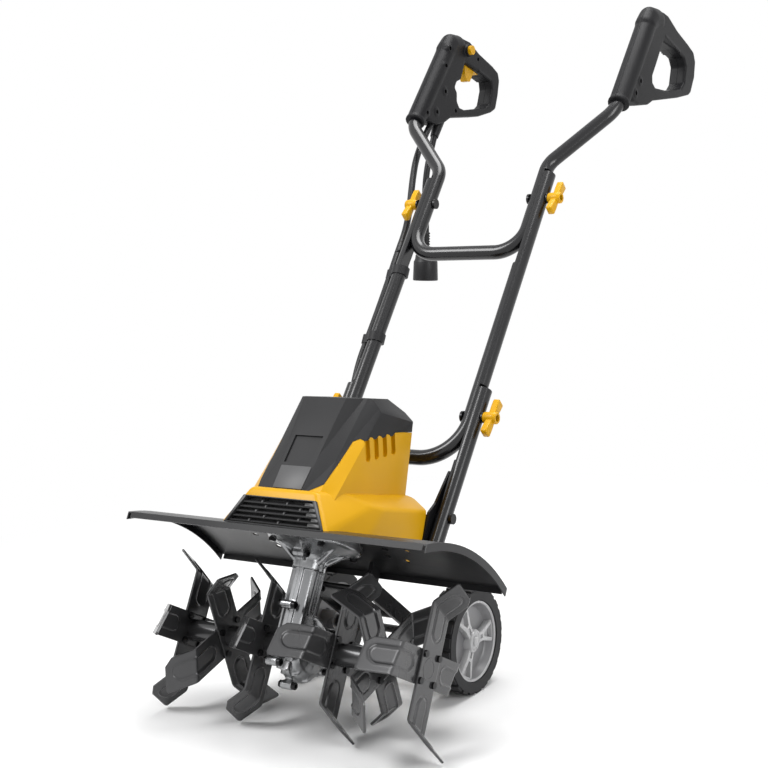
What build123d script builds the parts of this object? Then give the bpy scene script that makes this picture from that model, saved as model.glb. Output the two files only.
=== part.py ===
from build123d import *
import math
import os

# Every length is in millimetres. Pieces are laid out in the machine's own frame, whose
# origin is the middle of the tine axle, X to the right, Y to the rear, Z up the gearbox leg.
# The whole machine then leans back on its tines and wheels.

# tines
STRIP_WIDTH = 38.0
STRIP_THICK = 3.0
BEND_RADIUS_FROM_AXLE = 62.7
BEND_SKEW = 18.0
TAB_LENGTH = 36.0
OUTWARD_BEND = 56.0
INWARD_BEND = 50.0
STAR_INNER_X = 54.0
STAR_MIDDLE_X = 110.0
STAR_OUTER_X = 168.0
TAB_CHAMFER = 8.0
RIVET_CIRCLE = 20.35
RIVET_HEAD = 7.6
RIVET_HEAD_HEIGHT = 2.6

# tine drive
HUB_OD = 26.0
SHAFT_DIA = 17.0
HUB_START_X = 22.0
HUB_END_X = 173.0
HUB_MOUTH_DIA = 19.0
HUB_MOUTH_DEPTH = 13.0
SHAFT_RECESS = 0.5
SHAFT_END_X = HUB_END_X - HUB_MOUTH_DEPTH - SHAFT_RECESS
HUB_PIN_DIA = 5.0
HUB_PIN_X = 34.0
RUNNING_FIT = 0.06
BEARING_OD = 26.0
BEARING_INNER_X = 8.0
BEARING_OUTER_X = 15.0
SEAL_OUTER_X = 18.6

# worm gearing
WHEEL_TEETH = 30
WORM_PITCH_RADIUS = 6.0
WHEEL_PITCH_RADIUS = 20.0
WORM_DISTANCE = WORM_PITCH_RADIUS + WHEEL_PITCH_RADIUS
WORM_LEAD = 2.0 * math.pi * WHEEL_PITCH_RADIUS / WHEEL_TEETH
WHEEL_FACE = 6.0
WHEEL_TIP_RADIUS = 20.9
WHEEL_ROOT_RADIUS = 18.2
WORM_CORE_RADIUS = 4.6
WORM_THREAD_RADIUS = 6.9
WORM_HALF_LENGTH = 14.0
MOTOR_SHAFT_DIA = 8.0
WORM_BEARING_OD = 18.0

# gearbox
MOTOR_Y = -WORM_DISTANCE
CASE_HALF = 17.5
FLANGE_HALF = 5.0
BULGE_RADIUS = 39.0
BODY_BULGE_RADIUS = 34.0
LEG_FRONT = -42.0
LEG_REAR = -10.0
CASE_WALL_STEP = 7.0
CASE_BOSS_DIA = 9.5
CASE_BOSS_HALF = 12.0
CASE_SCREW_DIA = 5.0
CASE_SCREW_HEAD = 9.0
RIB_COUNT = 3
RIB_PITCH = 6.0
RIB_THICK = 2.0
RIB_HEIGHT = 52.0
RIB_PROUD = 2.0
BELL_RIM_RADIUS = 55.0
BELL_NECK_RADIUS = 19.0
BELL_RIM_Z = 113.0
BELL_NECK_Z = 84.0
BELL_FLARE_Z = 95.5

# shield
SHIELD_RADIUS = 241.6
SHIELD_TOP_Z = 125.6
SHIELD_AXIS_Z = SHIELD_TOP_Z - SHIELD_RADIUS
SHIELD_AXIS_Y = -27.0
SHIELD_THICK = 1.6
SHIELD_HALF = 205.7
SHIELD_FRONT = -118.6
SHIELD_REAR = 64.8
SHIELD_LIP = 7.0
SHIELD_HOLE = 8.0
SHIELD_BOLT_DIA = 5.0
SHIELD_BOLT_HEAD = 8.4
SHIELD_BOLT_SEAT = 111.0
SHIELD_BOLT_HEAD_HIGH = 5.0

# motor housing
SKIN = 2.6
BASE_TOP_REAR = 202.0
BODY_HALF = 58.5
GROOVE_PITCH_Y = 15.5
GROOVE_PITCH_Z = 8.0
GROOVE_WIDTH = 5.5
GROOVE_LENGTH = 23.0
GROOVE_DEPTH = 1.2
GRILLE_BARS = 5

# motor
ARMATURE_RADIUS = 22.0
STATOR_INNER = 23.0
STATOR_OUTER = 33.0
STATOR_LOW = 162.0
STATOR_HIGH = 222.0
COMMUTATOR_RADIUS = 12.0
FAN_RADIUS = 32.0

# wheels
WHEEL_Y = 176.2
WHEEL_Z = 61.9
TYRE_RADIUS = 63.5
RIM_LIP_RADIUS = 51.2
WHEEL_OUTER_X = 120.0
WHEEL_INNER_X = 83.0
TREAD_DEPTH = 2.6
TREAD_COUNT = 24
AXLE_DIA = 10.0
WHEEL_BORE_GAP = 0.08
WHEEL_SIDE_GAP = 0.6
BRACKET_PIVOT_Y = 52.0
BRACKET_PIVOT_Z = 84.0
BRACKET_ARM_X = 42.0
BRACKET_BAR = 5.0
BRACKET_DEPTH = 20.0
PIVOT_DIA = 8.0

# handles
TUBE_DIA = 19.0
TUBE_WALL = 1.6
HANDLE_Y = 133.1
HANDLE_Z = 494.0
HANDLE_SLOPE = 0.175
HANDLE_ANGLE = math.degrees(math.atan(HANDLE_SLOPE))
MIDDLE_X = 90.2
UPPER_X = 84.2
STRUT_X = 97.4
LOWER_BAR_Z = 261.0
LOWER_KNOB_Z = 320.0
STRUT_TOP_Z = 357.6
STRUT_FOOT_Z = 121.0
STRUT_BOLT_Z = 185.0
UPPER_BAR_Z = 563.0
UPPER_KNOB_Z = 647.0
MIDDLE_TOP_Z = 686.0
SPREAD_START_Z = 703.4
SPREAD_END_Z = 790.0
GRIP_X = 161.0
GRIP_SLOPE = 44.0 / 180.0
LOWER_BEND = 55.0
UPPER_BEND = 38.0
FOLD_GAP = 0.3
BOLT_DIA = 8.0
BOLT_GAP = 0.06
KNOB_HUB_DIA = 14.0
KNOB_HUB_LENGTH = 17.0
KNOB_SPAN = 45.0
KNOB_THICK = 12.0
WASHER_THICK = 2.0
BOLT_HEAD = 14.0

# grips
SLEEVE_RADIUS = 20.0
GRIP_HALF = 17.0
GRIP_CORNER = 6.0
GRIP_ROUNDING = 7.0
OPENING_CORNER = 4.0
OPENING_ROUNDING = 4.0
TRIGGER_ROOM_WIDTH = 12.0
TRIGGER_GAP = 0.4
LOCK_DIA = 14.0
LOCK_TRAVEL = 4.5
LOCK_LENGTH = 11.0
LOCK_PROUD = 1.0
TRIGGER_SWING = 12.0

# cords
CABLE_DIA = 9.5
CLIP_WIDTH = 12.0


def tine_corner_points():
    """Side-view corners of one outward-bent tab, across and out from the axle."""
    points = []
    skew = math.radians(BEND_SKEW)
    reach = TAB_LENGTH * math.cos(math.radians(OUTWARD_BEND))
    for half in (-0.5, 0.5):
        along = half * STRIP_WIDTH / math.cos(skew) - TAB_LENGTH * math.tan(skew)
        push = reach + STRIP_THICK * math.sin(math.radians(OUTWARD_BEND))
        across = along * math.cos(skew) + push * math.sin(skew)
        out = BEND_RADIUS_FROM_AXLE - along * math.sin(skew) + push * math.cos(skew)
        points.append((across, out))
    return points


def contact_depth(angle):
    """How far the tines reach below the axle when the machine leans back."""
    deepest = 0.0
    for turn in (45.0, 90.0, 135.0, 180.0, 225.0):
        facing = math.radians(180.0 - angle - turn)
        for across, out in tine_corner_points():
            deepest = max(deepest, out * math.cos(facing) + across * math.sin(facing))
    return deepest


def resting_lean():
    """The lean at which tines and wheels touch one level floor."""
    lean = 28.0
    direction = math.atan2(WHEEL_Z, WHEEL_Y)
    distance = math.hypot(WHEEL_Y, WHEEL_Z)
    for _ in range(30):
        lean = math.degrees(direction + math.asin((contact_depth(lean) - TYRE_RADIUS) / distance))
    return lean


LEAN = resting_lean()
GROUND = contact_depth(LEAN)
CENTRE_SHIFT_Y = -361.0


def leaned(vector):
    """Direction in the machine's frame turned with its lean."""
    return Vector(*vector).rotate(Axis.X, -LEAN)


def stood(plane):
    """Plane in the machine's frame carried to where the machine stands."""
    origin = leaned(plane.origin) + Vector(0, CENTRE_SHIFT_Y, GROUND)
    return Plane(origin=origin, x_dir=leaned(plane.x_dir), z_dir=leaned(plane.z_dir))


machine = stood(Plane.XY)


def side(x=0.0, y=0.0, z=0.0):
    """Plane facing right, its x running rearwards and its y upwards."""
    return stood(Plane(origin=(x, y, z), x_dir=(0, 1, 0), z_dir=(1, 0, 0)))


def level(z=0.0, x=0.0, y=0.0):
    """Plane facing up the leg, its x running to the right."""
    return stood(Plane(origin=(x, y, z), x_dir=(1, 0, 0), z_dir=(0, 0, 1)))


def front(y=0.0, x=0.0, z=0.0):
    """Plane facing forwards, its x running to the right."""
    return stood(Plane(origin=(x, y, z), x_dir=(1, 0, 0), z_dir=(0, -1, 0)))


def handle_y(z):
    """Rearward place of the handle tubes at a height."""
    return HANDLE_Y + HANDLE_SLOPE * (z - HANDLE_Z)


def handle_point(x, z):
    """Point on the handle tubes' common plane."""
    return (x, handle_y(z), z)


def three_point_plane(a, b, c):
    """Plane through three machine points."""
    first = Vector(*b) - Vector(*a)
    second = Vector(*c) - Vector(*a)
    normal = first.cross(second).normalized()
    return stood(Plane(origin=a, x_dir=first, z_dir=normal))


def cut_beyond(a, b, c, inset=0.0):
    """Trim the current solid to the side of a plane that holds the motor."""
    plane = three_point_plane(a, b, c)
    inside = level(180.0, 0.0, -20.0)
    if plane.z_dir.dot(inside.origin - plane.origin) > 0:
        plane = Plane(origin=plane.origin, x_dir=plane.x_dir, z_dir=-plane.z_dir)
    split(bisect_by=plane.offset(-inset), keep=Keep.BOTTOM)


def cut_both(a, b, c, inset=0.0):
    """Trim by a plane and by its mirror image."""
    cut_beyond(a, b, c, inset)
    cut_beyond((-a[0], a[1], a[2]), (-b[0], b[1], b[2]), (-c[0], c[1], c[2]), inset)


# ---------------------------------------------------------------- tines


def arm_frame(turn):
    """Outward and crosswise directions of an arm in the side view."""
    angle = math.radians(turn)
    along = Vector(0, math.sin(angle), math.cos(angle))
    across = Vector(0, math.cos(angle), -math.sin(angle))
    return along, across


def tab_plane(x, turn, bend):
    """Plane of a bent tab, its x along the bend line and its y towards the tip."""
    along, across = arm_frame(turn)
    skew = math.radians(BEND_SKEW)
    line = across * math.cos(skew) - along * math.sin(skew)
    flat = along * math.cos(skew) + across * math.sin(skew)
    swing = math.radians(bend)
    rise = flat * math.cos(swing) + Vector(1, 0, 0) * math.sin(swing)
    origin = Vector(x, 0, 0) + along * BEND_RADIUS_FROM_AXLE
    return Plane(origin=origin, x_dir=line, z_dir=line.cross(rise))


def mitre_plane(x, turn, bend):
    """Plane that halves the angle between the flat strip and its tab."""
    flat = tab_plane(x, turn, 0.0)
    bent = tab_plane(x, turn, bend)
    return Plane(origin=bent.origin, x_dir=bent.x_dir, z_dir=(flat.y_dir + bent.y_dir).normalized())


def tab_outline():
    """Outline of a bent tab with one cut corner at its tip."""
    skew = math.radians(BEND_SKEW)
    half = STRIP_WIDTH / 2 / math.cos(skew)
    slant = -math.tan(skew)
    start = -12.0
    tip = TAB_LENGTH
    Polyline(
        (-half + slant * start, start),
        (-half + slant * tip, tip),
        (half + slant * tip - TAB_CHAMFER, tip),
        (half + slant * (tip - TAB_CHAMFER), tip - TAB_CHAMFER),
        (half + slant * start, start),
        close=True,
    )


def flat_outline():
    """Outline of the flat part of an arm, in the plane of its bend line."""
    skew = math.radians(BEND_SKEW)
    half = STRIP_WIDTH / 2 / math.cos(skew)
    slant = -math.tan(skew)
    start = -BEND_RADIUS_FROM_AXLE * math.cos(skew)
    offset = BEND_RADIUS_FROM_AXLE * math.sin(skew)
    end = 12.0
    Polyline(
        (offset - STRIP_WIDTH / 2 * math.cos(skew), start - STRIP_WIDTH / 2 * math.sin(skew)),
        (-half + slant * end, end),
        (half + slant * end, end),
        (offset + STRIP_WIDTH / 2 * math.cos(skew), start + STRIP_WIDTH / 2 * math.sin(skew)),
        close=True,
    )


def strip_half(x, turn, bend, thick):
    """One arm of a strip from the axle to its bent tip."""
    mitre = stood(mitre_plane(x, turn, bend))
    with BuildPart() as flat:
        with BuildSketch(stood(tab_plane(x, turn, 0.0))):
            with BuildLine():
                flat_outline()
            make_face()
        extrude(amount=-thick)
        split(bisect_by=mitre, keep=Keep.BOTTOM)
    with BuildPart() as tab:
        with BuildSketch(stood(tab_plane(x, turn, bend))):
            with BuildLine():
                tab_outline()
            make_face()
        extrude(amount=-thick)
        split(bisect_by=mitre, keep=Keep.TOP)
    return flat.part + tab.part


def star_arms(x, first_turn, layer):
    """The four arms of one star's two crossing strips."""
    turns = (first_turn, first_turn + 90.0, first_turn + 180.0, first_turn + 270.0)
    bends = (OUTWARD_BEND, -INWARD_BEND, OUTWARD_BEND, -INWARD_BEND)
    shape = None
    for turn, bend in zip(turns, bends):
        place = x + (layer * STRIP_THICK if turn % 180 == turns[1] % 180 else 0.0)
        arm = strip_half(place, turn, bend, STRIP_THICK)
        shape = arm if shape is None else shape + arm
    return shape


def rod(x0, x1, radius, y=0.0, z=0.0, mode=Mode.ADD):
    """Round bar lying across the machine between two stations."""
    with BuildSketch(side(x0, y, z)) as disc:
        Circle(radius)
    extrude(disc.sketch, amount=x1 - x0, mode=mode)


def post(z0, z1, radius, x=0.0, y=0.0, mode=Mode.ADD):
    """Round bar standing along the leg between two heights."""
    with BuildSketch(level(z0, x, y)) as disc:
        Circle(radius)
    extrude(disc.sketch, amount=z1 - z0, mode=mode)


def star_piece(arms, x, first_turn):
    """Star with its hub hole and rivet holes, added to the current piece."""
    add(arms)
    rod(x - 12, x + 12, HUB_OD / 2, mode=Mode.SUBTRACT)
    for corner in range(4):
        angle = math.radians(first_turn + 45.0 + 90.0 * corner)
        y = RIVET_CIRCLE * math.sin(angle)
        z = RIVET_CIRCLE * math.cos(angle)
        rod(x - 9, x + 9, RIVET_HEAD / 4, y, z, Mode.SUBTRACT)


outer_arms = star_arms(STAR_OUTER_X, 0.0, -1)
middle_arms = star_arms(STAR_MIDDLE_X, 45.0, -1)
inner_arms = star_arms(STAR_INNER_X, 0.0, -1)

with BuildPart() as tine_star_outer_right:
    star_piece(outer_arms, STAR_OUTER_X, 0.0)
tine_star_outer_right.part.label = "tine_star_outer_right"

with BuildPart() as tine_star_middle_right:
    star_piece(middle_arms, STAR_MIDDLE_X, 45.0)
tine_star_middle_right.part.label = "tine_star_middle_right"

with BuildPart() as tine_star_inner_right:
    star_piece(inner_arms, STAR_INNER_X, 0.0)
tine_star_inner_right.part.label = "tine_star_inner_right"

with BuildPart() as tine_star_outer_left:
    mirror(tine_star_outer_right.part, about=Plane.YZ)
tine_star_outer_left.part.label = "tine_star_outer_left"

with BuildPart() as tine_star_middle_left:
    mirror(tine_star_middle_right.part, about=Plane.YZ)
tine_star_middle_left.part.label = "tine_star_middle_left"

with BuildPart() as tine_star_inner_left:
    mirror(tine_star_inner_right.part, about=Plane.YZ)
tine_star_inner_left.part.label = "tine_star_inner_left"


def rivet(x, y, z):
    """Rivet with a head on each face of a star."""
    low = x - 2 * STRIP_THICK
    high = x
    rod(low, high, RIVET_HEAD / 4, y, z)
    rod(high, high + RIVET_HEAD_HEIGHT, RIVET_HEAD / 2, y, z)
    rod(low - RIVET_HEAD_HEIGHT, low, RIVET_HEAD / 2, y, z)


def rivets_of(x, first_turn):
    """The four rivets of one star."""
    for corner in range(4):
        angle = math.radians(first_turn + 45.0 + 90.0 * corner)
        rivet(x, RIVET_CIRCLE * math.sin(angle), RIVET_CIRCLE * math.cos(angle))


with BuildPart() as tine_rivets:
    for sign in (1, -1):
        for station, first_turn in ((STAR_OUTER_X, 0.0), (STAR_MIDDLE_X, 45.0), (STAR_INNER_X, 0.0)):
            if sign > 0:
                rivets_of(station, first_turn)
            else:
                rivets_of(-station + 2 * STRIP_THICK, first_turn)
tine_rivets.part.label = "tine_rivets"


def hub_tube(sign):
    """Tube that carries three stars, bored for the shaft and its pin."""
    low = min(sign * HUB_START_X, sign * HUB_END_X)
    high = max(sign * HUB_START_X, sign * HUB_END_X)
    rod(low, high, HUB_OD / 2)
    rod(low, high, SHAFT_DIA / 2, mode=Mode.SUBTRACT)
    mouth = HUB_END_X - HUB_MOUTH_DEPTH
    rod(sign * mouth, sign * (HUB_END_X + 1), HUB_MOUTH_DIA / 2, mode=Mode.SUBTRACT)
    with BuildSketch(level(-HUB_OD, sign * HUB_PIN_X)) as hole:
        Circle(HUB_PIN_DIA / 2)
    extrude(hole.sketch, amount=2 * HUB_OD, mode=Mode.SUBTRACT)


with BuildPart() as tine_hubs:
    hub_tube(1)
    hub_tube(-1)
tine_hubs.part.label = "tine_hubs"

with BuildPart() as tine_shaft:
    rod(-SHAFT_END_X, SHAFT_END_X, SHAFT_DIA / 2)
    for sign in (1, -1):
        post(-HUB_OD / 2, HUB_OD / 2, HUB_PIN_DIA / 2, sign * HUB_PIN_X)
tine_shaft.part.label = "tine_shaft"

def tooth(turn):
    """One tooth of the worm wheel, seen from the side."""
    half_root = math.pi * WHEEL_ROOT_RADIUS / WHEEL_TEETH * 0.50
    half_tip = math.pi * WHEEL_TIP_RADIUS / WHEEL_TEETH * 0.26
    angle = math.radians(turn)
    points = []
    for across, out in (
        (-half_root, WHEEL_ROOT_RADIUS - 0.6),
        (half_root, WHEEL_ROOT_RADIUS - 0.6),
        (half_tip, WHEEL_TIP_RADIUS),
        (-half_tip, WHEEL_TIP_RADIUS),
    ):
        y = -out * math.cos(angle) - across * math.sin(angle)
        z = -out * math.sin(angle) + across * math.cos(angle)
        points.append((y, z))
    Polygon(*points, align=None)


with BuildPart() as worm_wheel:
    with BuildSketch(side(-WHEEL_FACE / 2)):
        Circle(WHEEL_ROOT_RADIUS)
        for number in range(WHEEL_TEETH):
            tooth(360.0 / WHEEL_TEETH * number)
        Circle(SHAFT_DIA / 2, mode=Mode.SUBTRACT)
    extrude(amount=WHEEL_FACE)
worm_wheel.part.label = "worm_wheel"

WORM_TURNS = 5
THREAD_LENGTH = WORM_TURNS * WORM_LEAD
WORM_AXIS = stood(Plane(origin=(0, MOTOR_Y, 0), x_dir=(0, 1, 0), z_dir=(0, 0, 1)))

with BuildPart() as thread:
    with BuildLine(Plane.XY.offset(-THREAD_LENGTH / 2)) as turns_line:
        Helix(WORM_LEAD, THREAD_LENGTH, (WORM_CORE_RADIUS + WORM_THREAD_RADIUS) / 2)
    start = turns_line.line @ 0
    with BuildSketch(Plane(origin=start, x_dir=(1, 0, 0), z_dir=turns_line.line % 0)) as tooth_section:
        Trapezoid(WORM_LEAD * 0.52, WORM_THREAD_RADIUS - WORM_CORE_RADIUS, 70, rotation=-90)
    sweep(tooth_section.sketch, path=turns_line.line, is_frenet=True)

with BuildPart() as motor_shaft:
    post(-30.0, 244.0, MOTOR_SHAFT_DIA / 2, 0.0, MOTOR_Y)
    post(-WORM_HALF_LENGTH, WORM_HALF_LENGTH, WORM_CORE_RADIUS + 0.2, 0.0, MOTOR_Y)
    add(thread.part.moved(WORM_AXIS.location))
motor_shaft.part.label = "motor_shaft"


# ---------------------------------------------------------------- gearbox


CASE_SCREWS = ((-49.0, 99.0), (-48.6, 39.9), (-50.0, -24.5), (-13.0, -44.0), (40.0, -18.0), (-5.0, 70.0), (36.0, 26.0))


def case_half():
    """Right half of the cast gearbox with its cavity, bosses and flared top."""
    with BuildSketch(side(0)) as flange:
        Circle(BULGE_RADIUS)
        with BuildLine():
            Polyline(
                (LEG_FRONT, -20), (LEG_FRONT, BELL_RIM_Z), (LEG_REAR, BELL_RIM_Z), (LEG_REAR, 30), (0, 0), close=True
            )
        make_face()
    extrude(flange.sketch, amount=FLANGE_HALF)
    with BuildSketch(side(0)) as body:
        Circle(BODY_BULGE_RADIUS)
        with BuildLine():
            Polyline(
                (LEG_FRONT + CASE_WALL_STEP, -20),
                (LEG_FRONT + CASE_WALL_STEP, BELL_RIM_Z),
                (LEG_REAR - 4, BELL_RIM_Z),
                (LEG_REAR - 4, 28),
                (0, 0),
                close=True,
            )
        make_face()
    extrude(body.sketch, amount=CASE_HALF)
    for y, z in CASE_SCREWS:
        rod(0, CASE_BOSS_HALF, CASE_BOSS_DIA / 2, y, z)
        inward = (MOTOR_Y - 4, z) if z > 30 and y < 0 else (y * 0.7, z * 0.7)
        with BuildSketch(side(0)) as ear:
            SlotCenterPoint(((y + inward[0]) / 2, (z + inward[1]) / 2), (y, z), CASE_BOSS_DIA)
        extrude(ear.sketch, amount=FLANGE_HALF)
    for number in range(RIB_COUNT):
        with BuildSketch(side(0, LEG_FRONT + 13.0 + RIB_PITCH * number, 62.0)) as rib:
            Rectangle(RIB_THICK, RIB_HEIGHT)
        extrude(rib.sketch, amount=CASE_HALF + RIB_PROUD)
    rod(CASE_HALF, SEAL_OUTER_X, BEARING_OD / 2 + 3)


def bell_profile():
    """Half section of the flared bell under the shield, revolved about the motor axis."""
    Polygon(
        (0, BELL_NECK_Z),
        (BELL_NECK_RADIUS, BELL_NECK_Z),
        (BELL_NECK_RADIUS, BELL_FLARE_Z),
        (BELL_NECK_RADIUS + 3.5, BELL_FLARE_Z + 3.5),
        (BELL_NECK_RADIUS + 13, BELL_FLARE_Z + 9),
        (BELL_NECK_RADIUS + 28, BELL_RIM_Z - 4),
        (BELL_RIM_RADIUS, BELL_RIM_Z),
        (BELL_RIM_RADIUS, SHIELD_TOP_Z + 4.4),
        (0, SHIELD_TOP_Z + 4.4),
        align=None,
    )


def bell_cavity():
    """Space inside the bell for the lower motor bearing."""
    low = BELL_RIM_Z - 2
    wide = BELL_RIM_RADIUS - 16
    high = SHIELD_TOP_Z + 6.4
    Polygon((0, low), (30, low), (wide, BELL_RIM_Z + 6), (wide, high), (0, high), align=None)


with BuildPart() as under_arch:
    with BuildSketch(side(-260, SHIELD_AXIS_Y, SHIELD_AXIS_Z)):
        Circle(SHIELD_RADIUS)
    extrude(amount=520)

with BuildPart() as over_arch:
    with BuildSketch(side(-260, SHIELD_AXIS_Y, SHIELD_AXIS_Z)):
        Circle(SHIELD_RADIUS + SHIELD_THICK)
    extrude(amount=520)

SHIELD_BOLTS = ((34.0, -60.0), (34.0, 8.0), (-34.0, -60.0), (-34.0, 8.0))

with BuildPart() as gearbox_right:
    case_half()
    with BuildSketch(stood(Plane(origin=(0, MOTOR_Y, 0), x_dir=(1, 0, 0), z_dir=(0, -1, 0)))) as bell:
        bell_profile()
    revolve(bell.sketch, axis=Axis(level(0, 0, MOTOR_Y).origin, leaned((0, 0, 1))))
    add(under_arch.part, mode=Mode.INTERSECT)
    with BuildSketch(stood(Plane(origin=(0, MOTOR_Y, 0), x_dir=(1, 0, 0), z_dir=(0, -1, 0)))) as hollow:
        bell_cavity()
    revolve(hollow.sketch, axis=Axis(level(0, 0, MOTOR_Y).origin, leaned((0, 0, 1))), mode=Mode.SUBTRACT)
    rod(-1, BEARING_OUTER_X, WHEEL_TIP_RADIUS + 1.2, mode=Mode.SUBTRACT)
    rod(-1, SEAL_OUTER_X + 1, BEARING_OD / 2, mode=Mode.SUBTRACT)
    post(-30.0, 140.0, WORM_BEARING_OD / 2, 0.0, MOTOR_Y, Mode.SUBTRACT)
    for y, z in CASE_SCREWS:
        rod(-1, CASE_BOSS_HALF + 1, CASE_SCREW_DIA / 2, y, z, Mode.SUBTRACT)
        rod(CASE_BOSS_HALF, CASE_BOSS_HALF + 12, CASE_SCREW_HEAD / 2 + 0.4, y, z, Mode.SUBTRACT)
    for x, y in SHIELD_BOLTS:
        post(90.0, 140.0, SHIELD_BOLT_DIA / 2, x, y, Mode.SUBTRACT)
        post(90.0, SHIELD_BOLT_SEAT, SHIELD_BOLT_HEAD / 2 + 0.5, x, y, Mode.SUBTRACT)
    split(bisect_by=stood(Plane(origin=(0, 0, 0), z_dir=(1, 0, 0))), keep=Keep.TOP)
gearbox_right.part.label = "gearbox_right"

with BuildPart() as gearbox_left:
    mirror(gearbox_right.part, about=Plane.YZ)
gearbox_left.part.label = "gearbox_left"

WORM_BEARING_SPANS = ((-29.0, -20.0), (96.0, 106.0))

with BuildPart() as gearbox_bearings:
    for sign in (1, -1):
        low = min(sign * BEARING_INNER_X, sign * BEARING_OUTER_X)
        rod(low, low + BEARING_OUTER_X - BEARING_INNER_X, BEARING_OD / 2)
    rod(-40, 40, SHAFT_DIA / 2 + RUNNING_FIT, mode=Mode.SUBTRACT)
    for low, high in WORM_BEARING_SPANS:
        post(low, high, WORM_BEARING_OD / 2, 0.0, MOTOR_Y)
        post(low, high, MOTOR_SHAFT_DIA / 2 + RUNNING_FIT, 0.0, MOTOR_Y, Mode.SUBTRACT)
gearbox_bearings.part.label = "gearbox_bearings"

# ---------------------------------------------------------------- shield

SHIELD_HOLES = ((78.7, 0.0), (108.0, 0.0), (71.0, 21.0), (92.0, 29.0))


def arch_z(y, radius=SHIELD_RADIUS):
    """Height of the shield's underside at a rearward station."""
    return SHIELD_AXIS_Z + math.sqrt(radius**2 - (y - SHIELD_AXIS_Y) ** 2)


def arch_band(x, width, inner, outer):
    """Curved strip between two radii, cut to the shield's front and rear edges."""
    with BuildSketch(side(x, SHIELD_AXIS_Y, SHIELD_AXIS_Z)) as band:
        Circle(outer)
        Circle(inner, mode=Mode.SUBTRACT)
        middle = (SHIELD_FRONT + SHIELD_REAR) / 2 - SHIELD_AXIS_Y
        with Locations((middle, 150)):
            Rectangle(SHIELD_REAR - SHIELD_FRONT, 300, mode=Mode.INTERSECT)
    extrude(band.sketch, amount=width)


def edge_lip(y):
    """Downturned lip along the front or rear edge."""
    with BuildSketch(front(y, 0.0, arch_z(y) - SHIELD_LIP / 2 + 1.2)) as lip:
        Rectangle(2 * SHIELD_HALF - 10, SHIELD_LIP)
    extrude(lip.sketch, amount=SHIELD_THICK)


LUG_THICK = 4.0
LUG_X = BRACKET_ARM_X - BRACKET_BAR / 2 - 0.4 - LUG_THICK

with BuildPart() as pivot_lugs:
    for sign in (1, -1):
        with BuildSketch(side(min(sign * LUG_X, sign * (LUG_X + LUG_THICK)), BRACKET_PIVOT_Y, BRACKET_PIVOT_Z)) as lug:
            Circle(11)
            with Locations((-1, 20)):
                Rectangle(20, 40)
        extrude(lug.sketch, amount=LUG_THICK)
    add(under_arch.part, mode=Mode.INTERSECT)
    rod(-60, 60, PIVOT_DIA / 2, BRACKET_PIVOT_Y, BRACKET_PIVOT_Z, Mode.SUBTRACT)

with BuildPart() as shield:
    arch_band(-SHIELD_HALF, 2 * SHIELD_HALF, SHIELD_RADIUS, SHIELD_RADIUS + SHIELD_THICK)
    arch_band(-SHIELD_HALF, SHIELD_THICK, SHIELD_RADIUS - SHIELD_LIP, SHIELD_RADIUS + SHIELD_THICK)
    arch_band(SHIELD_HALF - SHIELD_THICK, SHIELD_THICK, SHIELD_RADIUS - SHIELD_LIP, SHIELD_RADIUS + SHIELD_THICK)
    edge_lip(SHIELD_FRONT + SHIELD_THICK)
    edge_lip(SHIELD_REAR)
    post(90.0, 140.0, 14.0, 0.0, MOTOR_Y, Mode.SUBTRACT)
    for x, y in SHIELD_BOLTS:
        post(90.0, 140.0, SHIELD_BOLT_DIA / 2, x, y, Mode.SUBTRACT)
    for x, y in SHIELD_HOLES:
        post(90.0, 140.0, SHIELD_HOLE / 2, x, y, Mode.SUBTRACT)
        post(90.0, 140.0, SHIELD_HOLE / 2, -x, y, Mode.SUBTRACT)
    add(pivot_lugs.part)
shield.part.label = "shield"

with BuildPart() as shield_bolts:
    for x, y in SHIELD_BOLTS:
        post(SHIELD_BOLT_SEAT, 127.0, SHIELD_BOLT_DIA / 2, x, y)
        post(SHIELD_BOLT_SEAT - SHIELD_BOLT_HEAD_HIGH, SHIELD_BOLT_SEAT, SHIELD_BOLT_HEAD / 2, x, y)

with BuildPart() as gearbox_screws:
    for y, z in CASE_SCREWS:
        rod(-CASE_BOSS_HALF, CASE_BOSS_HALF, CASE_SCREW_DIA / 2, y, z)
        rod(CASE_BOSS_HALF, CASE_BOSS_HALF + 5, CASE_SCREW_HEAD / 2, y, z)
        rod(-CASE_BOSS_HALF - 4, -CASE_BOSS_HALF, CASE_SCREW_HEAD / 2, y, z)
        rod(CASE_BOSS_HALF + 2.5, CASE_BOSS_HALF + 6, 2.3, y, z, Mode.SUBTRACT)
    add(shield_bolts.part)
gearbox_screws.part.label = "gearbox_screws"


# ---------------------------------------------------------------- motor housing


def base_form(inset):
    """Faceted base of the housing, shrunk inwards by a wall."""
    with BuildSketch(level(90.0, 0.0, -25.0)) as block:
        Rectangle(200, 240)
    extrude(block.sketch, amount=BASE_TOP_REAR - 90.0 - inset)
    cut_beyond((0, -110, 111.5), (40, -110, 111.5), (40, -107.7, 145.3), inset)
    cut_both((72.3, -110, 111.5), (86, -45, 132), (80, -45, 161), inset)
    cut_both((72.3, -110, 111.5), (51.4, -107.7, 145.3), (80, -45, 161), inset)
    cut_both((86, -45, 132), (88.5, 58, 152), (86, 60, 188), inset)
    cut_both((80, -45, 161), (86, 60, 188), (61, 55, 202), inset)
    cut_beyond((-40, -110, 155), (40, -110, 155), (0, 50, 202), inset)
    cut_beyond((-60, 60, 188), (60, 60, 188), (0, 60, 152), inset)


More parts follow.
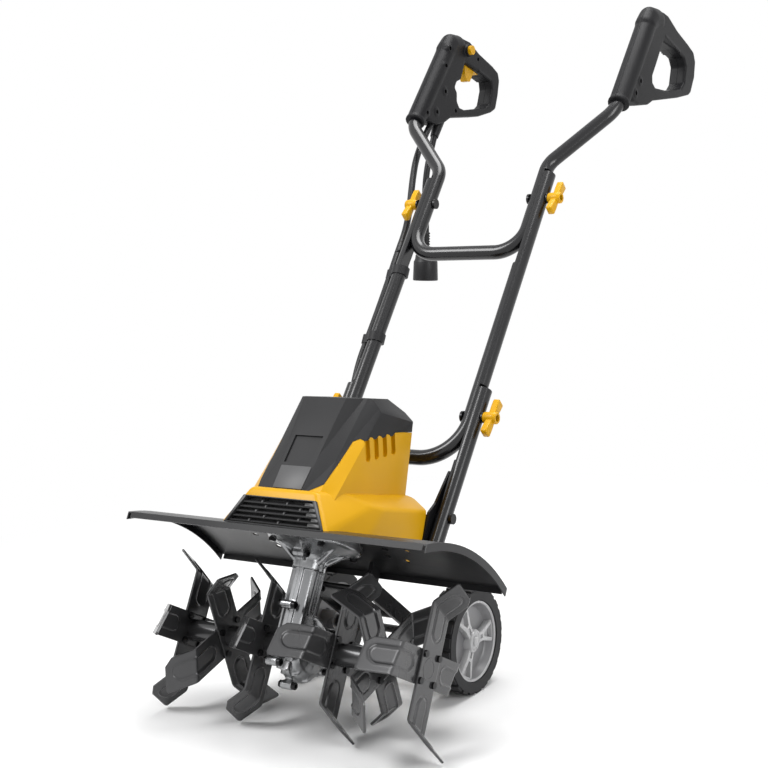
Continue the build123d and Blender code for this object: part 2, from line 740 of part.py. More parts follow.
def body_section(flat_x, flat_y, crease_x, crease_y, side_y, rear_y, inset):
    """Plan outline of the upper body at one height."""
    Polygon(
        (flat_x, flat_y), (crease_x, crease_y), (BODY_HALF, side_y), (BODY_HALF, rear_y - 10), (48, rear_y),
        (-48, rear_y), (-BODY_HALF, rear_y - 10), (-BODY_HALF, side_y), (-crease_x, crease_y), (-flat_x, flat_y),
        align=None,
    )
    if inset > 0:
        offset(amount=-inset, kind=Kind.INTERSECTION)


def body_form(inset):
    """Upper body of the housing, shrunk inwards by a wall."""
    with BuildSketch(level(150.0)) as low:
        body_section(26, -111.3, 40, -110.6, -90, 58, inset)
    with BuildSketch(level(302.0)) as high:
        body_section(31, -66.3, 44.3, -46, -27, 16, inset)
    loft([low.sketch, high.sketch], ruled=True)
    cut_beyond((0, -74, 276), (40, -12, 298.5), (-40, -12, 298.5), inset)
    cut_beyond((40, -12, 299), (-40, -12, 299), (0, 24, 291), inset)
    cut_both((45, -6, 297), (58.5, 24, 284), (58.5, -40, 272), inset)


with BuildPart() as base_outer:
    base_form(0.0)

with BuildPart() as base_inner:
    base_form(SKIN)

with BuildPart() as body_outer:
    body_form(0.0)

with BuildPart() as body_inner:
    body_form(SKIN)

with BuildPart() as cover_region:
    with BuildSketch(side(-80)):
        Polygon(
            (-130, 150), (-104, 158), (-66, 229), (-8, 260.5), (28, 272), (70, 286), (70, 340), (-130, 340), align=None
        )
    extrude(amount=160)

GRILLE_POINTS = ((66, 114.5), (46, 143), (-46, 143), (-66, 114.5))

with BuildPart() as motor_shroud:
    add(body_outer.part)
    add(cover_region.part, mode=Mode.SUBTRACT)
    add(base_outer.part)
    add(base_inner.part, mode=Mode.SUBTRACT)
    add(body_inner.part, mode=Mode.SUBTRACT)
    add(over_arch.part, mode=Mode.SUBTRACT)
    with BuildSketch(front(-100)):
        Polygon(*GRILLE_POINTS, align=None)
    extrude(amount=20, mode=Mode.SUBTRACT)
    for number in range(4):
        y = -49.0 + GROOVE_PITCH_Y * number
        z = 222.0 + GROOVE_PITCH_Z * number
        for face in (BODY_HALF, -BODY_HALF):
            with BuildSketch(side(face, y, z)):
                SlotOverall(GROOVE_LENGTH, GROOVE_WIDTH, rotation=-62)
            extrude(amount=GROOVE_DEPTH, both=True, mode=Mode.SUBTRACT)
    with BuildSketch(front(80, -51, 179.3)):
        Circle(CABLE_DIA / 2 + 1.6)
    extrude(amount=40, mode=Mode.SUBTRACT)
motor_shroud.part.label = "motor_shroud"

with BuildPart() as motor_cover:
    add(body_outer.part)
    add(cover_region.part, mode=Mode.INTERSECT)
    add(body_inner.part, mode=Mode.SUBTRACT)
    add(base_outer.part, mode=Mode.SUBTRACT)
motor_cover.part.label = "motor_cover"

with BuildPart() as grille:
    with BuildSketch(front(-105.5)):
        Polygon(*GRILLE_POINTS, align=None)
        for number in range(GRILLE_BARS + 1):
            with Locations((0, 117.8 + 4.6 * number)):
                Rectangle(96.0 - 6.0 * number, 1.8, mode=Mode.SUBTRACT)
    extrude(amount=2.6)
grille.part.label = "grille"

with BuildPart() as front_plate:
    with BuildSketch(three_point_plane((-24, -109.4, 156.5), (24, -109.4, 156.5), (24, -100.9, 185.2))) as plate:
        with Locations((24, 15)):
            Rectangle(48, 28)
    extrude(plate.sketch, amount=1.2, both=True)
    add(body_outer.part, mode=Mode.SUBTRACT)
front_plate.part.label = "front_plate"


# ---------------------------------------------------------------- motor

with BuildPart() as lower_end_frame:
    post(100.0, STATOR_LOW, STATOR_OUTER, 0.0, MOTOR_Y)
    post(90.0, STATOR_LOW - 4, STATOR_OUTER - 3, 0.0, MOTOR_Y, Mode.SUBTRACT)
    post(STATOR_LOW - 5, STATOR_LOW, MOTOR_SHAFT_DIA / 2 + 9, 0.0, MOTOR_Y, Mode.SUBTRACT)
    with BuildSketch(level(130.0)):
        for angle in (45, 135):
            with Locations(Location((0, MOTOR_Y, 0), (0, 0, angle))):
                Rectangle(90, 26)
    extrude(amount=18, mode=Mode.SUBTRACT)
    add(over_arch.part, mode=Mode.SUBTRACT)
lower_end_frame.part.label = "lower_end_frame"

with BuildPart() as stator:
    post(STATOR_LOW, STATOR_HIGH, STATOR_OUTER, 0.0, MOTOR_Y)
    post(STATOR_LOW, STATOR_HIGH, STATOR_INNER, 0.0, MOTOR_Y, Mode.SUBTRACT)
stator.part.label = "stator"

with BuildPart() as upper_end_frame:
    post(STATOR_HIGH, 250.0, STATOR_OUTER, 0.0, MOTOR_Y)
    post(STATOR_HIGH, 244.5, STATOR_OUTER - 3, 0.0, MOTOR_Y, Mode.SUBTRACT)
    post(236.0, 246.0, 9.0, 0.0, MOTOR_Y)
    post(230.0, 244.4, MOTOR_SHAFT_DIA / 2 + RUNNING_FIT, 0.0, MOTOR_Y, Mode.SUBTRACT)
    for sign in (1, -1):
        with BuildSketch(side(sign * 24 - 14, MOTOR_Y, 229)) as window:
            Rectangle(14, 9)
        extrude(window.sketch, amount=28, mode=Mode.SUBTRACT)
upper_end_frame.part.label = "upper_end_frame"

with BuildPart() as brush_holders:
    for sign in (1, -1):
        with BuildSketch(side(sign * 24 - 11.2, MOTOR_Y, 229)) as brush:
            Rectangle(14, 9)
        extrude(brush.sketch, amount=22.4)
brush_holders.part.label = "brush_holders"

with BuildPart() as armature:
    post(STATOR_LOW + 3, 214.0, ARMATURE_RADIUS, 0.0, MOTOR_Y)
    for number in range(12):
        with BuildSketch(level(STATOR_LOW, 0.0, MOTOR_Y)) as slot:
            with PolarLocations(ARMATURE_RADIUS, 1, start_angle=30 * number):
                Rectangle(6, 2.4)
        extrude(slot.sketch, amount=60, mode=Mode.SUBTRACT)
    post(150.0, 240.0, MOTOR_SHAFT_DIA / 2, 0.0, MOTOR_Y, Mode.SUBTRACT)
    post(214.0, 235.0, COMMUTATOR_RADIUS, 0.0, MOTOR_Y)
    post(210.0, 240.0, MOTOR_SHAFT_DIA / 2, 0.0, MOTOR_Y, Mode.SUBTRACT)
armature.part.label = "armature"

with BuildPart() as cooling_fan:
    post(134.0, 136.0, STATOR_OUTER - 5, 0.0, MOTOR_Y)
    post(134.0, 148.0, 8.0, 0.0, MOTOR_Y)
    with BuildSketch(level(136.0, 0.0, MOTOR_Y)):
        with PolarLocations(18, 10):
            Rectangle(18, 1.6, rotation=20)
    extrude(amount=10)
    post(130.0, 150.0, MOTOR_SHAFT_DIA / 2, 0.0, MOTOR_Y, Mode.SUBTRACT)
cooling_fan.part.label = "cooling_fan"


# ---------------------------------------------------------------- wheels


def wheel_ring(x0, x1, outer, inner=0.0, mode=Mode.ADD):
    """Ring about the wheel axle between two stations."""
    with BuildSketch(side(x0, WHEEL_Y, WHEEL_Z)) as ring:
        Circle(outer)
        if inner > 0:
            Circle(inner, mode=Mode.SUBTRACT)
    extrude(ring.sketch, amount=x1 - x0, mode=mode)


BEAD_RADIUS = RIM_LIP_RADIUS - 2.2
HUB_RADIUS = 12.0
WEB_LOW = 106.0
WEB_HIGH = 110.0
NUT_RADIUS = 8.0

with BuildPart() as tyre_right:
    wheel_ring(WHEEL_INNER_X, WHEEL_OUTER_X, TYRE_RADIUS - TREAD_DEPTH, BEAD_RADIUS)
    with BuildSketch(side(WHEEL_INNER_X + 1, WHEEL_Y, WHEEL_Z)) as lugs:
        with PolarLocations(TYRE_RADIUS - TREAD_DEPTH, TREAD_COUNT):
            Rectangle(2 * TREAD_DEPTH - 0.3, 11.0)
    extrude(lugs.sketch, amount=WHEEL_OUTER_X - WHEEL_INNER_X - 2)
tyre_right.part.label = "tyre_right"

with BuildPart() as rim_right:
    wheel_ring(WHEEL_INNER_X + 1.5, WHEEL_OUTER_X - 1.5, BEAD_RADIUS, BEAD_RADIUS - 3)
    wheel_ring(WEB_LOW, WEB_HIGH, BEAD_RADIUS - 1, HUB_RADIUS - 1)
    with BuildSketch(side(WEB_LOW, WHEEL_Y, WHEEL_Z)) as spokes:
        with PolarLocations(28, 3, start_angle=90):
            Rectangle(36, 11)
            with Locations(Location((6, 7), 35), Location((6, -7), -35)):
                Rectangle(26, 8)
    extrude(spokes.sketch, amount=8)
    wheel_ring(WHEEL_INNER_X + WHEEL_SIDE_GAP, 113.0, HUB_RADIUS)
    wheel_ring(WHEEL_INNER_X, 120.0, AXLE_DIA / 2 + WHEEL_BORE_GAP, mode=Mode.SUBTRACT)
    wheel_ring(113.0, 121.0, HUB_RADIUS)
    wheel_ring(112.0, 119.0, HUB_RADIUS - 2.0, mode=Mode.SUBTRACT)
rim_right.part.label = "rim_right"

with BuildPart() as tyre_left:
    mirror(tyre_right.part, about=Plane.YZ)
tyre_left.part.label = "tyre_left"

with BuildPart() as rim_left:
    mirror(rim_right.part, about=Plane.YZ)
rim_left.part.label = "rim_left"

with BuildPart() as wheel_axle:
    rod(-117.0, 117.0, AXLE_DIA / 2, WHEEL_Y, WHEEL_Z)
    for sign in (1, -1):
        low = min(sign * (BRACKET_ARM_X + BRACKET_BAR / 2), sign * WHEEL_INNER_X)
        reach = WHEEL_INNER_X - BRACKET_ARM_X - BRACKET_BAR / 2
        rod(low, low + reach, HUB_RADIUS - 4, WHEEL_Y, WHEEL_Z)
    for sign in (1, -1):
        rod(min(sign * 113.6, sign * 117.0), max(sign * 113.6, sign * 117.0), NUT_RADIUS, WHEEL_Y, WHEEL_Z)
wheel_axle.part.label = "wheel_axle"

def bracket_arm(x):
    """Flat arm from the shield pivot to the wheel axle."""
    run = math.hypot(WHEEL_Y - BRACKET_PIVOT_Y, WHEEL_Z - BRACKET_PIVOT_Z)
    angle = math.degrees(math.atan2(WHEEL_Z - BRACKET_PIVOT_Z, WHEEL_Y - BRACKET_PIVOT_Y))
    middle_y = (WHEEL_Y + BRACKET_PIVOT_Y) / 2
    middle_z = (WHEEL_Z + BRACKET_PIVOT_Z) / 2
    with BuildSketch(side(x - BRACKET_BAR / 2, middle_y, middle_z)) as arm:
        SlotCenterToCenter(run, BRACKET_DEPTH, rotation=angle)
    extrude(arm.sketch, amount=BRACKET_BAR)


with BuildPart() as wheel_bracket:
    bracket_arm(BRACKET_ARM_X)
    bracket_arm(-BRACKET_ARM_X)
    rod(-BRACKET_ARM_X, BRACKET_ARM_X, 7.0, 118.0, 73.0)
    rod(-60, 60, PIVOT_DIA / 2 + RUNNING_FIT, BRACKET_PIVOT_Y, BRACKET_PIVOT_Z, Mode.SUBTRACT)
    rod(-60, 60, AXLE_DIA / 2, WHEEL_Y, WHEEL_Z, Mode.SUBTRACT)
wheel_bracket.part.label = "wheel_bracket"

PIN_END = BRACKET_ARM_X + BRACKET_BAR / 2 + 0.4

with BuildPart() as pivot_pin:
    rod(-PIN_END, PIN_END, PIVOT_DIA / 2, BRACKET_PIVOT_Y, BRACKET_PIVOT_Z)
    rod(PIN_END, PIN_END + 4, PIVOT_DIA / 2 + 3, BRACKET_PIVOT_Y, BRACKET_PIVOT_Z)
    rod(-PIN_END - 4, -PIN_END, PIVOT_DIA / 2 + 3, BRACKET_PIVOT_Y, BRACKET_PIVOT_Z)
pivot_pin.part.label = "pivot_pin"


# ---------------------------------------------------------------- handles


def handle_sheet():
    """Plane that holds every handle tube, its x to the right and its y upwards."""
    lean_back = math.radians(HANDLE_ANGLE)
    facing = (0, -math.cos(lean_back), math.sin(lean_back))
    return stood(Plane(origin=(0, HANDLE_Y, HANDLE_Z), x_dir=(1, 0, 0), z_dir=facing))


def along(z):
    """Distance along the handle tubes at a height."""
    return (z - HANDLE_Z) / math.cos(math.radians(HANDLE_ANGLE))


def tube_end(points):
    """Section plane at the first point of a handle tube."""
    first = Vector(*points[0])
    return stood(Plane(origin=first, z_dir=Vector(*points[1]) - first))


def swept_tube(points, radii, radius):
    """Round bar along straight runs joined by bends."""
    with BuildLine(machine) as route:
        FilletPolyline(*points, radius=radii)
    with BuildSketch(tube_end(points)) as section:
        Circle(radius)
    sweep(section.sketch, path=route.line)


def flat_cut(x0, x1, z0, z1):
    """Flat ground on a tube where it lies against its neighbour."""
    middle = (along(z0) + along(z1)) / 2
    plane = handle_sheet().offset(-20)
    with BuildSketch(plane) as flat:
        with Locations(((x0 + x1) / 2, middle)):
            Rectangle(abs(x1 - x0), along(z1) - along(z0))
    extrude(flat.sketch, amount=40, mode=Mode.SUBTRACT)


LOWER_FOLD_X = (MIDDLE_X + STRUT_X) / 2
UPPER_FOLD_X = (MIDDLE_X + UPPER_X) / 2
MIDDLE_ROUTE = (
    handle_point(MIDDLE_X, MIDDLE_TOP_Z),
    handle_point(MIDDLE_X, LOWER_BAR_Z),
    handle_point(-MIDDLE_X, LOWER_BAR_Z),
    handle_point(-MIDDLE_X, MIDDLE_TOP_Z),
)
FLAT_LOW_TOP = STRUT_TOP_Z + 4.5
FLAT_LOW_FOOT = STRUT_TOP_Z - 94.0
FLAT_HIGH_FOOT = UPPER_BAR_Z - 14.0
FLAT_HIGH_TOP = MIDDLE_TOP_Z + 4.5


def middle_form(radius, inset):
    """Middle handle with its fold flats, solid or as the bore to take away."""
    swept_tube(MIDDLE_ROUTE, LOWER_BEND, radius)
    for sign in (1, -1):
        outer = LOWER_FOLD_X - FOLD_GAP / 2 - inset
        flat_cut(sign * outer, sign * (outer + 30), FLAT_LOW_FOOT - 60, FLAT_LOW_TOP + inset)
        inner = UPPER_FOLD_X + FOLD_GAP / 2 + inset
        flat_cut(sign * inner, sign * (inner - 30), FLAT_HIGH_FOOT - 8 - inset, MIDDLE_TOP_Z + 30)


with BuildPart() as middle_bore:
    middle_form(TUBE_DIA / 2 - TUBE_WALL, TUBE_WALL)

with BuildPart() as middle_handle:
    middle_form(TUBE_DIA / 2, 0.0)
    add(middle_bore.part, mode=Mode.SUBTRACT)
    for sign in (1, -1):
        for z in (LOWER_KNOB_Z, UPPER_KNOB_Z):
            rod(sign * MIDDLE_X - 15, sign * MIDDLE_X + 15, BOLT_DIA / 2 + BOLT_GAP, handle_y(z), z, Mode.SUBTRACT)
middle_handle.part.label = "middle_handle"

SPREAD_Y = handle_y(SPREAD_END_Z)
TUBE_RISE = 70.0
UPPER_ROUTE = (
    (GRIP_X, SPREAD_Y + GRIP_SLOPE * TUBE_RISE, SPREAD_END_Z + TUBE_RISE),
    (GRIP_X, SPREAD_Y, SPREAD_END_Z),
    handle_point(UPPER_X, SPREAD_START_Z),
    handle_point(UPPER_X, UPPER_BAR_Z),
    handle_point(-UPPER_X, UPPER_BAR_Z),
    handle_point(-UPPER_X, SPREAD_START_Z),
    (-GRIP_X, SPREAD_Y, SPREAD_END_Z),
    (-GRIP_X, SPREAD_Y + GRIP_SLOPE * TUBE_RISE, SPREAD_END_Z + TUBE_RISE),
)
UPPER_RADII = (45.0, 32.0, UPPER_BEND, UPPER_BEND, 32.0, 45.0)


def upper_form(radius, inset):
    """Upper handle with its fold flats, solid or as the bore to take away."""
    swept_tube(UPPER_ROUTE, UPPER_RADII, radius)
    for sign in (1, -1):
        outer = UPPER_FOLD_X - FOLD_GAP / 2 - inset
        flat_cut(sign * outer, sign * (outer + 30), FLAT_HIGH_FOOT, FLAT_HIGH_TOP + inset)


with BuildPart() as upper_bore:
    upper_form(TUBE_DIA / 2 - TUBE_WALL, TUBE_WALL)

with BuildPart() as upper_handle:
    upper_form(TUBE_DIA / 2, 0.0)
    add(upper_bore.part, mode=Mode.SUBTRACT)
    for sign in (1, -1):
        y = handle_y(UPPER_KNOB_Z)
        low = sign * UPPER_X - 15
        rod(low, low + 30, BOLT_DIA / 2 + BOLT_GAP, y, UPPER_KNOB_Z, Mode.SUBTRACT)
upper_handle.part.label = "upper_handle"


with BuildPart() as strut_right:
    strut_end = tube_end((handle_point(STRUT_X, STRUT_FOOT_Z), handle_point(STRUT_X, STRUT_TOP_Z)))
    with BuildSketch(strut_end) as strut_section:
        Circle(TUBE_DIA / 2)
    extrude(strut_section.sketch, amount=along(STRUT_TOP_Z) - along(STRUT_FOOT_Z))
    inner = LOWER_FOLD_X + FOLD_GAP / 2
    flat_cut(inner, inner - 30, FLAT_LOW_FOOT - 6, STRUT_TOP_Z + 30)
    with BuildSketch(strut_end) as strut_hollow:
        Circle(TUBE_DIA / 2 - TUBE_WALL)
    extrude(strut_hollow.sketch, amount=along(FLAT_LOW_FOOT - 12) - along(STRUT_FOOT_Z), mode=Mode.SUBTRACT)
    rod(STRUT_X - 15, STRUT_X + 15, BOLT_DIA / 2, handle_y(LOWER_KNOB_Z), LOWER_KNOB_Z, Mode.SUBTRACT)
    rod(STRUT_X - 15, STRUT_X + 15, BOLT_DIA / 2, handle_y(STRUT_BOLT_Z), STRUT_BOLT_Z, Mode.SUBTRACT)
strut_right.part.label = "strut_right"

with BuildPart() as strut_left:
    mirror(strut_right.part, about=Plane.YZ)
strut_left.part.label = "strut_left"

PLATE_OUTER_X = STRUT_X - TUBE_DIA / 2
PLATE_THICK = 3.0
BASE_REAR = 60.0

with BuildPart() as strut_bracket_right:
    with BuildSketch(side(PLATE_OUTER_X - PLATE_THICK)):
        Polygon(
            (BASE_REAR, 116), (80, 116), (91, 180), (97, 234), (93, 245), (86, 245), (70, 200), (BASE_REAR, 186),
            align=None,
        )
    extrude(amount=PLATE_THICK)
    with BuildSketch(front(BASE_REAR + PLATE_THICK, 74, 150)):
        Rectangle(2 * (PLATE_OUTER_X - 74), 66)
    extrude(amount=PLATE_THICK)
    rod(60, 110, BOLT_DIA / 2, handle_y(STRUT_BOLT_Z), STRUT_BOLT_Z, Mode.SUBTRACT)

with BuildPart() as strut_brackets:
    add(strut_bracket_right.part)
    mirror(strut_bracket_right.part, about=Plane.YZ)
strut_brackets.part.label = "strut_brackets"

def knob_bolt(sign, inner_face, outer_face, z):
    """Coach bolt of a fold joint with its head inside and its washer under the knob."""
    y = handle_y(z)
    head = sign * (inner_face - 3.0)
    inner = sign * inner_face
    outer = sign * (outer_face + WASHER_THICK)
    end = sign * (outer_face + WASHER_THICK + 12.0)
    rod(min(head, end), max(head, end), BOLT_DIA / 2, y, z)
    rod(min(head, inner), max(head, inner), BOLT_HEAD / 2, y, z)
    rod(min(sign * outer_face, outer), max(sign * outer_face, outer), BOLT_HEAD / 2, y, z)


LOWER_INNER_FACE = MIDDLE_X - TUBE_DIA / 2 - 0.3
LOWER_OUTER_FACE = STRUT_X + TUBE_DIA / 2
UPPER_INNER_FACE = UPPER_X - TUBE_DIA / 2
UPPER_OUTER_FACE = MIDDLE_X + TUBE_DIA / 2

with BuildPart() as strut_fasteners:
    for sign in (1, -1):
        knob_bolt(sign, LOWER_INNER_FACE, LOWER_OUTER_FACE, LOWER_KNOB_Z)
    for sign in (1, -1):
        y = handle_y(STRUT_BOLT_Z)
        inner_end = sign * (PLATE_OUTER_X - PLATE_THICK - 5)
        outer_end = sign * (STRUT_X + TUBE_DIA / 2 + 4)
        rod(min(inner_end, outer_end), max(inner_end, outer_end), BOLT_DIA / 2, y, STRUT_BOLT_Z)
        head = sign * (STRUT_X + TUBE_DIA / 2)
        rod(min(head, outer_end), max(head, outer_end), 6.3, y, STRUT_BOLT_Z)
        nut = sign * (PLATE_OUTER_X - PLATE_THICK)
        rod(min(nut, inner_end), max(nut, inner_end), 6.3, y, STRUT_BOLT_Z)
strut_fasteners.part.label = "strut_fasteners"

with BuildPart() as upper_knob_bolts:
    for sign in (1, -1):
        knob_bolt(sign, UPPER_INNER_FACE - 0.3, UPPER_OUTER_FACE, UPPER_KNOB_Z)
upper_knob_bolts.part.label = "upper_knob_bolts"

KNOB_GAP = 0.1


def knob(face, z):
    """Winged nut with a blind threaded bore."""
    y = handle_y(z)
    start = face + WASHER_THICK + KNOB_GAP
    rod(start, start + KNOB_HUB_LENGTH, KNOB_HUB_DIA / 2, y, z)
    with BuildSketch(side(start + KNOB_HUB_LENGTH - KNOB_THICK, y, z)) as wings:
        SlotOverall(KNOB_SPAN, 11, rotation=70)
    extrude(wings.sketch, amount=KNOB_THICK - 1)
    rod(start - 1, start + 12.6, BOLT_DIA / 2 + BOLT_GAP, y, z, Mode.SUBTRACT)


with BuildPart() as lower_knob_right:
    knob(LOWER_OUTER_FACE, LOWER_KNOB_Z)
lower_knob_right.part.label = "lower_knob_right"

with BuildPart() as upper_knob_right:
    knob(UPPER_OUTER_FACE, UPPER_KNOB_Z)
upper_knob_right.part.label = "upper_knob_right"

with BuildPart() as lower_knob_left:
    mirror(lower_knob_right.part, about=Plane.YZ)
lower_knob_left.part.label = "lower_knob_left"

with BuildPart() as upper_knob_left:
    mirror(upper_knob_right.part, about=Plane.YZ)
upper_knob_left.part.label = "upper_knob_left"


# ---------------------------------------------------------------- grips

SLEEVE_END_Z = 944.0
RIGHT_LOOP = (
    (196, 930), (222, 976), (240, 984), (268, 986), (362, 1001), (380, 1001), (387, 994), (396, 941), (392, 932),
    (339, 896), (278, 854), (240, 826), (215, 806),
)
RIGHT_OPENING = ((276, 944), (318, 950), (325, 940), (323, 905), (300, 890), (273, 881), (263, 887))
LEFT_LOOP = (
    (196, 930), (222, 974), (240, 981), (264, 982), (350, 992), (369, 993), (376, 986), (382, 932), (378, 925),
    (330, 892), (268, 853), (240, 828), (215, 806),
)
LEFT_OPENING = ((270, 938), (281, 944), (331, 954), (338, 945), (336, 908), (302, 888), (284, 890), (266, 884))


def sleeve_axis(z):
    """Rearward place of the grip tube's axis at a height."""
    return SPREAD_Y + GRIP_SLOPE * (z - SPREAD_END_Z)


def sleeve_plane(x, z):
    """Plane square to the grip tube at a height."""
    return stood(Plane(origin=(x, sleeve_axis(z), z), x_dir=(1, 0, 0), z_dir=(0, GRIP_SLOPE, 1)))


def sleeve(x, z0, z1, radius, mode=Mode.ADD):
    """Round length along the grip tube's axis."""
    with BuildSketch(sleeve_plane(x, z0)) as disc:
        Circle(radius)
    reach = (z1 - z0) * math.sqrt(1 + GRIP_SLOPE**2)
    extrude(disc.sketch, amount=reach, mode=mode)


def grip_loop(x, loop, opening):
    """Rounded closed loop of a grip with its hand opening."""
    with BuildSketch(side(x - GRIP_HALF)) as outline:
        Polygon(*loop, align=None)
        fillet(outline.vertices(), GRIP_CORNER)
    extrude(outline.sketch, amount=2 * GRIP_HALF)
    ends = faces().sort_by(Axis.X)
    fillet(ends[0].edges() + ends[-1].edges(), GRIP_ROUNDING)
    with BuildSketch(side(x - GRIP_HALF - 5)) as hand_hole:
        Polygon(*opening, align=None)
        fillet(hand_hole.vertices(), OPENING_CORNER)
    extrude(hand_hole.sketch, amount=2 * GRIP_HALF + 10, mode=Mode.SUBTRACT)
    hole_rim = []
    for end in (faces().sort_by(Axis.X)[0], faces().sort_by(Axis.X)[-1]):
        for wire in end.inner_wires():
            hole_rim += wire.edges()
    fillet(hole_rim, OPENING_ROUNDING)


def grip_body(x, loop):
    """Grip with its sleeve, bored for the handle tube."""
    add(loop)
    sleeve(x, SPREAD_END_Z + 8, SLEEVE_END_Z, SLEEVE_RADIUS)
    sleeve(x, SPREAD_END_Z - 10, SPREAD_END_Z + TUBE_RISE + 2, TUBE_DIA / 2, Mode.SUBTRACT)


def half_of(whole, x, keep):
    """Left or right half of a grip, parted at its middle."""
    add(whole)
    split(bisect_by=stood(Plane(origin=(x, 0, 0), z_dir=(1, 0, 0))), keep=keep)


def grip_screw_set(x, places):
    """Screws that close the two halves of a grip from its right side."""
    for y, z in places:
        rod(x - 12, x + GRIP_HALF - 3, 1.6, y, z)
        rod(x + GRIP_HALF - 5, x + GRIP_HALF - 3, 3.2, y, z)


RIGHT_SCREWS = ((232, 962), (362, 970), (350, 922), (262, 862))
LEFT_SCREWS = ((222, 950), (355, 972), (350, 920), (252, 852))
TRIGGER_PIVOT = (306.0, 961.0)
LOCK_PLACE = (258.0, 963.0)
LOCK_OUTER_X = -GRIP_X + GRIP_HALF + LOCK_TRAVEL + LOCK_PROUD
LOCK_FLOOR_X = LOCK_OUTER_X - LOCK_LENGTH - LOCK_TRAVEL - 0.5
SWITCH_LOW = 880.0
SWITCH_HIGH = 925.0

with BuildPart() as right_loop:
    grip_loop(GRIP_X, RIGHT_LOOP, RIGHT_OPENING)

with BuildPart() as left_loop:
    grip_loop(-GRIP_X, LEFT_LOOP, LEFT_OPENING)

with BuildPart() as grip_right_whole:
    grip_body(GRIP_X, right_loop.part)
    for y, z in RIGHT_SCREWS:
        rod(GRIP_X - 12, GRIP_X + 20, 1.6, y, z, Mode.SUBTRACT)
        rod(GRIP_X + GRIP_HALF - 5, GRIP_X + 22, 3.2, y, z, Mode.SUBTRACT)

with BuildPart() as grip_right_outer:
    half_of(grip_right_whole.part, GRIP_X, Keep.TOP)
grip_right_outer.part.label = "grip_right_outer"

with BuildPart() as grip_right_inner:
    half_of(grip_right_whole.part, GRIP_X, Keep.BOTTOM)
grip_right_inner.part.label = "grip_right_inner"

TRIGGER_OUTLINE = ((268, 950), (276, 966), (312, 968), (310, 953), (298, 951), (294, 931), (286, 927), (276, 934))
TRIGGER_ROOM = ((263, 936), (266, 974), (318, 974), (318, 950), (300, 946), (296, 920), (266, 920))

with BuildPart() as grip_left_whole:
    grip_body(-GRIP_X, left_loop.part)
    for y, z in LEFT_SCREWS:
        rod(-GRIP_X - 12, -GRIP_X + 20, 1.6, y, z, Mode.SUBTRACT)
        rod(-GRIP_X + GRIP_HALF - 5, -GRIP_X + 22, 3.2, y, z, Mode.SUBTRACT)
    with BuildSketch(side(-GRIP_X - TRIGGER_ROOM_WIDTH / 2)):
        Polygon(*TRIGGER_ROOM, align=None)
    extrude(amount=TRIGGER_ROOM_WIDTH, mode=Mode.SUBTRACT)
    rod(LOCK_FLOOR_X, LOCK_FLOOR_X + 30, LOCK_DIA / 2 + 0.3, *LOCK_PLACE, Mode.SUBTRACT)
    with BuildSketch(side(-GRIP_X - 8)):
        with Locations((232, (SWITCH_LOW + SWITCH_HIGH) / 2)):
            Rectangle(28, SWITCH_HIGH - SWITCH_LOW)
    extrude(amount=16, mode=Mode.SUBTRACT)

with BuildPart() as grip_left_outer:
    half_of(grip_left_whole.part, -GRIP_X, Keep.BOTTOM)
grip_left_outer.part.label = "grip_left_outer"

with BuildPart() as grip_left_inner:
    half_of(grip_left_whole.part, -GRIP_X, Keep.TOP)
grip_left_inner.part.label = "grip_left_inner"

with BuildPart() as grip_fasteners:
    grip_screw_set(GRIP_X, RIGHT_SCREWS)
    grip_screw_set(-GRIP_X, LEFT_SCREWS)
    rod(-GRIP_X - TRIGGER_ROOM_WIDTH / 2, -GRIP_X + TRIGGER_ROOM_WIDTH / 2, 2.0, *TRIGGER_PIVOT)
grip_fasteners.part.label = "grip_fasteners"

with BuildPart() as trigger:
    with BuildSketch(side(-GRIP_X - TRIGGER_ROOM_WIDTH / 2 + TRIGGER_GAP)):
        Polygon(*TRIGGER_OUTLINE, align=None)
    extrude(amount=TRIGGER_ROOM_WIDTH - 2 * TRIGGER_GAP)
    rod(-GRIP_X - 8, -GRIP_X + 8, 2.0 + RUNNING_FIT, *TRIGGER_PIVOT, Mode.SUBTRACT)
trigger.part.label = "trigger"

with BuildPart() as lock_button:
    rod(LOCK_OUTER_X - LOCK_LENGTH, LOCK_OUTER_X, LOCK_DIA / 2, *LOCK_PLACE)
lock_button.part.label = "lock_button"

with BuildPart() as switch_block:
    with BuildSketch(side(-GRIP_X - 8)):
        with Locations((232, (SWITCH_LOW + SWITCH_HIGH) / 2)):
            Rectangle(28, SWITCH_HIGH - SWITCH_LOW)
    extrude(amount=16)
switch_block.part.label = "switch_block"


# ---------------------------------------------------------------- cords


def bend_radii(points):
    """Radii that join each pair of straight runs with a wide tangent arc."""
    radii = []
    for before, here, after in zip(points, points[1:], points[2:]):
        first = Vector(*here) - Vector(*before)
        second = Vector(*after) - Vector(*here)
        turn = math.radians(first.get_angle(second))
        radii.append(0.45 * min(first.length, second.length) / math.tan(turn / 2))
    return radii


def laid_cord(name, points, diameter):
    """Round cord along a route of straight runs and wide arcs."""
    radii = bend_radii(points)
    with BuildLine(machine) as route:
        FilletPolyline(*points, radius=radii)
    with BuildSketch(tube_end(points)) as section:
        Circle(diameter / 2)
    sweep(section.sketch, path=route.line)
    line_length = sum(edge.length for edge in route.line.edges())
    print(name, "length", round(line_length, 1), "radii", [round(radius, 1) for radius in radii])
    return line_length * math.pi * diameter**2 / 4


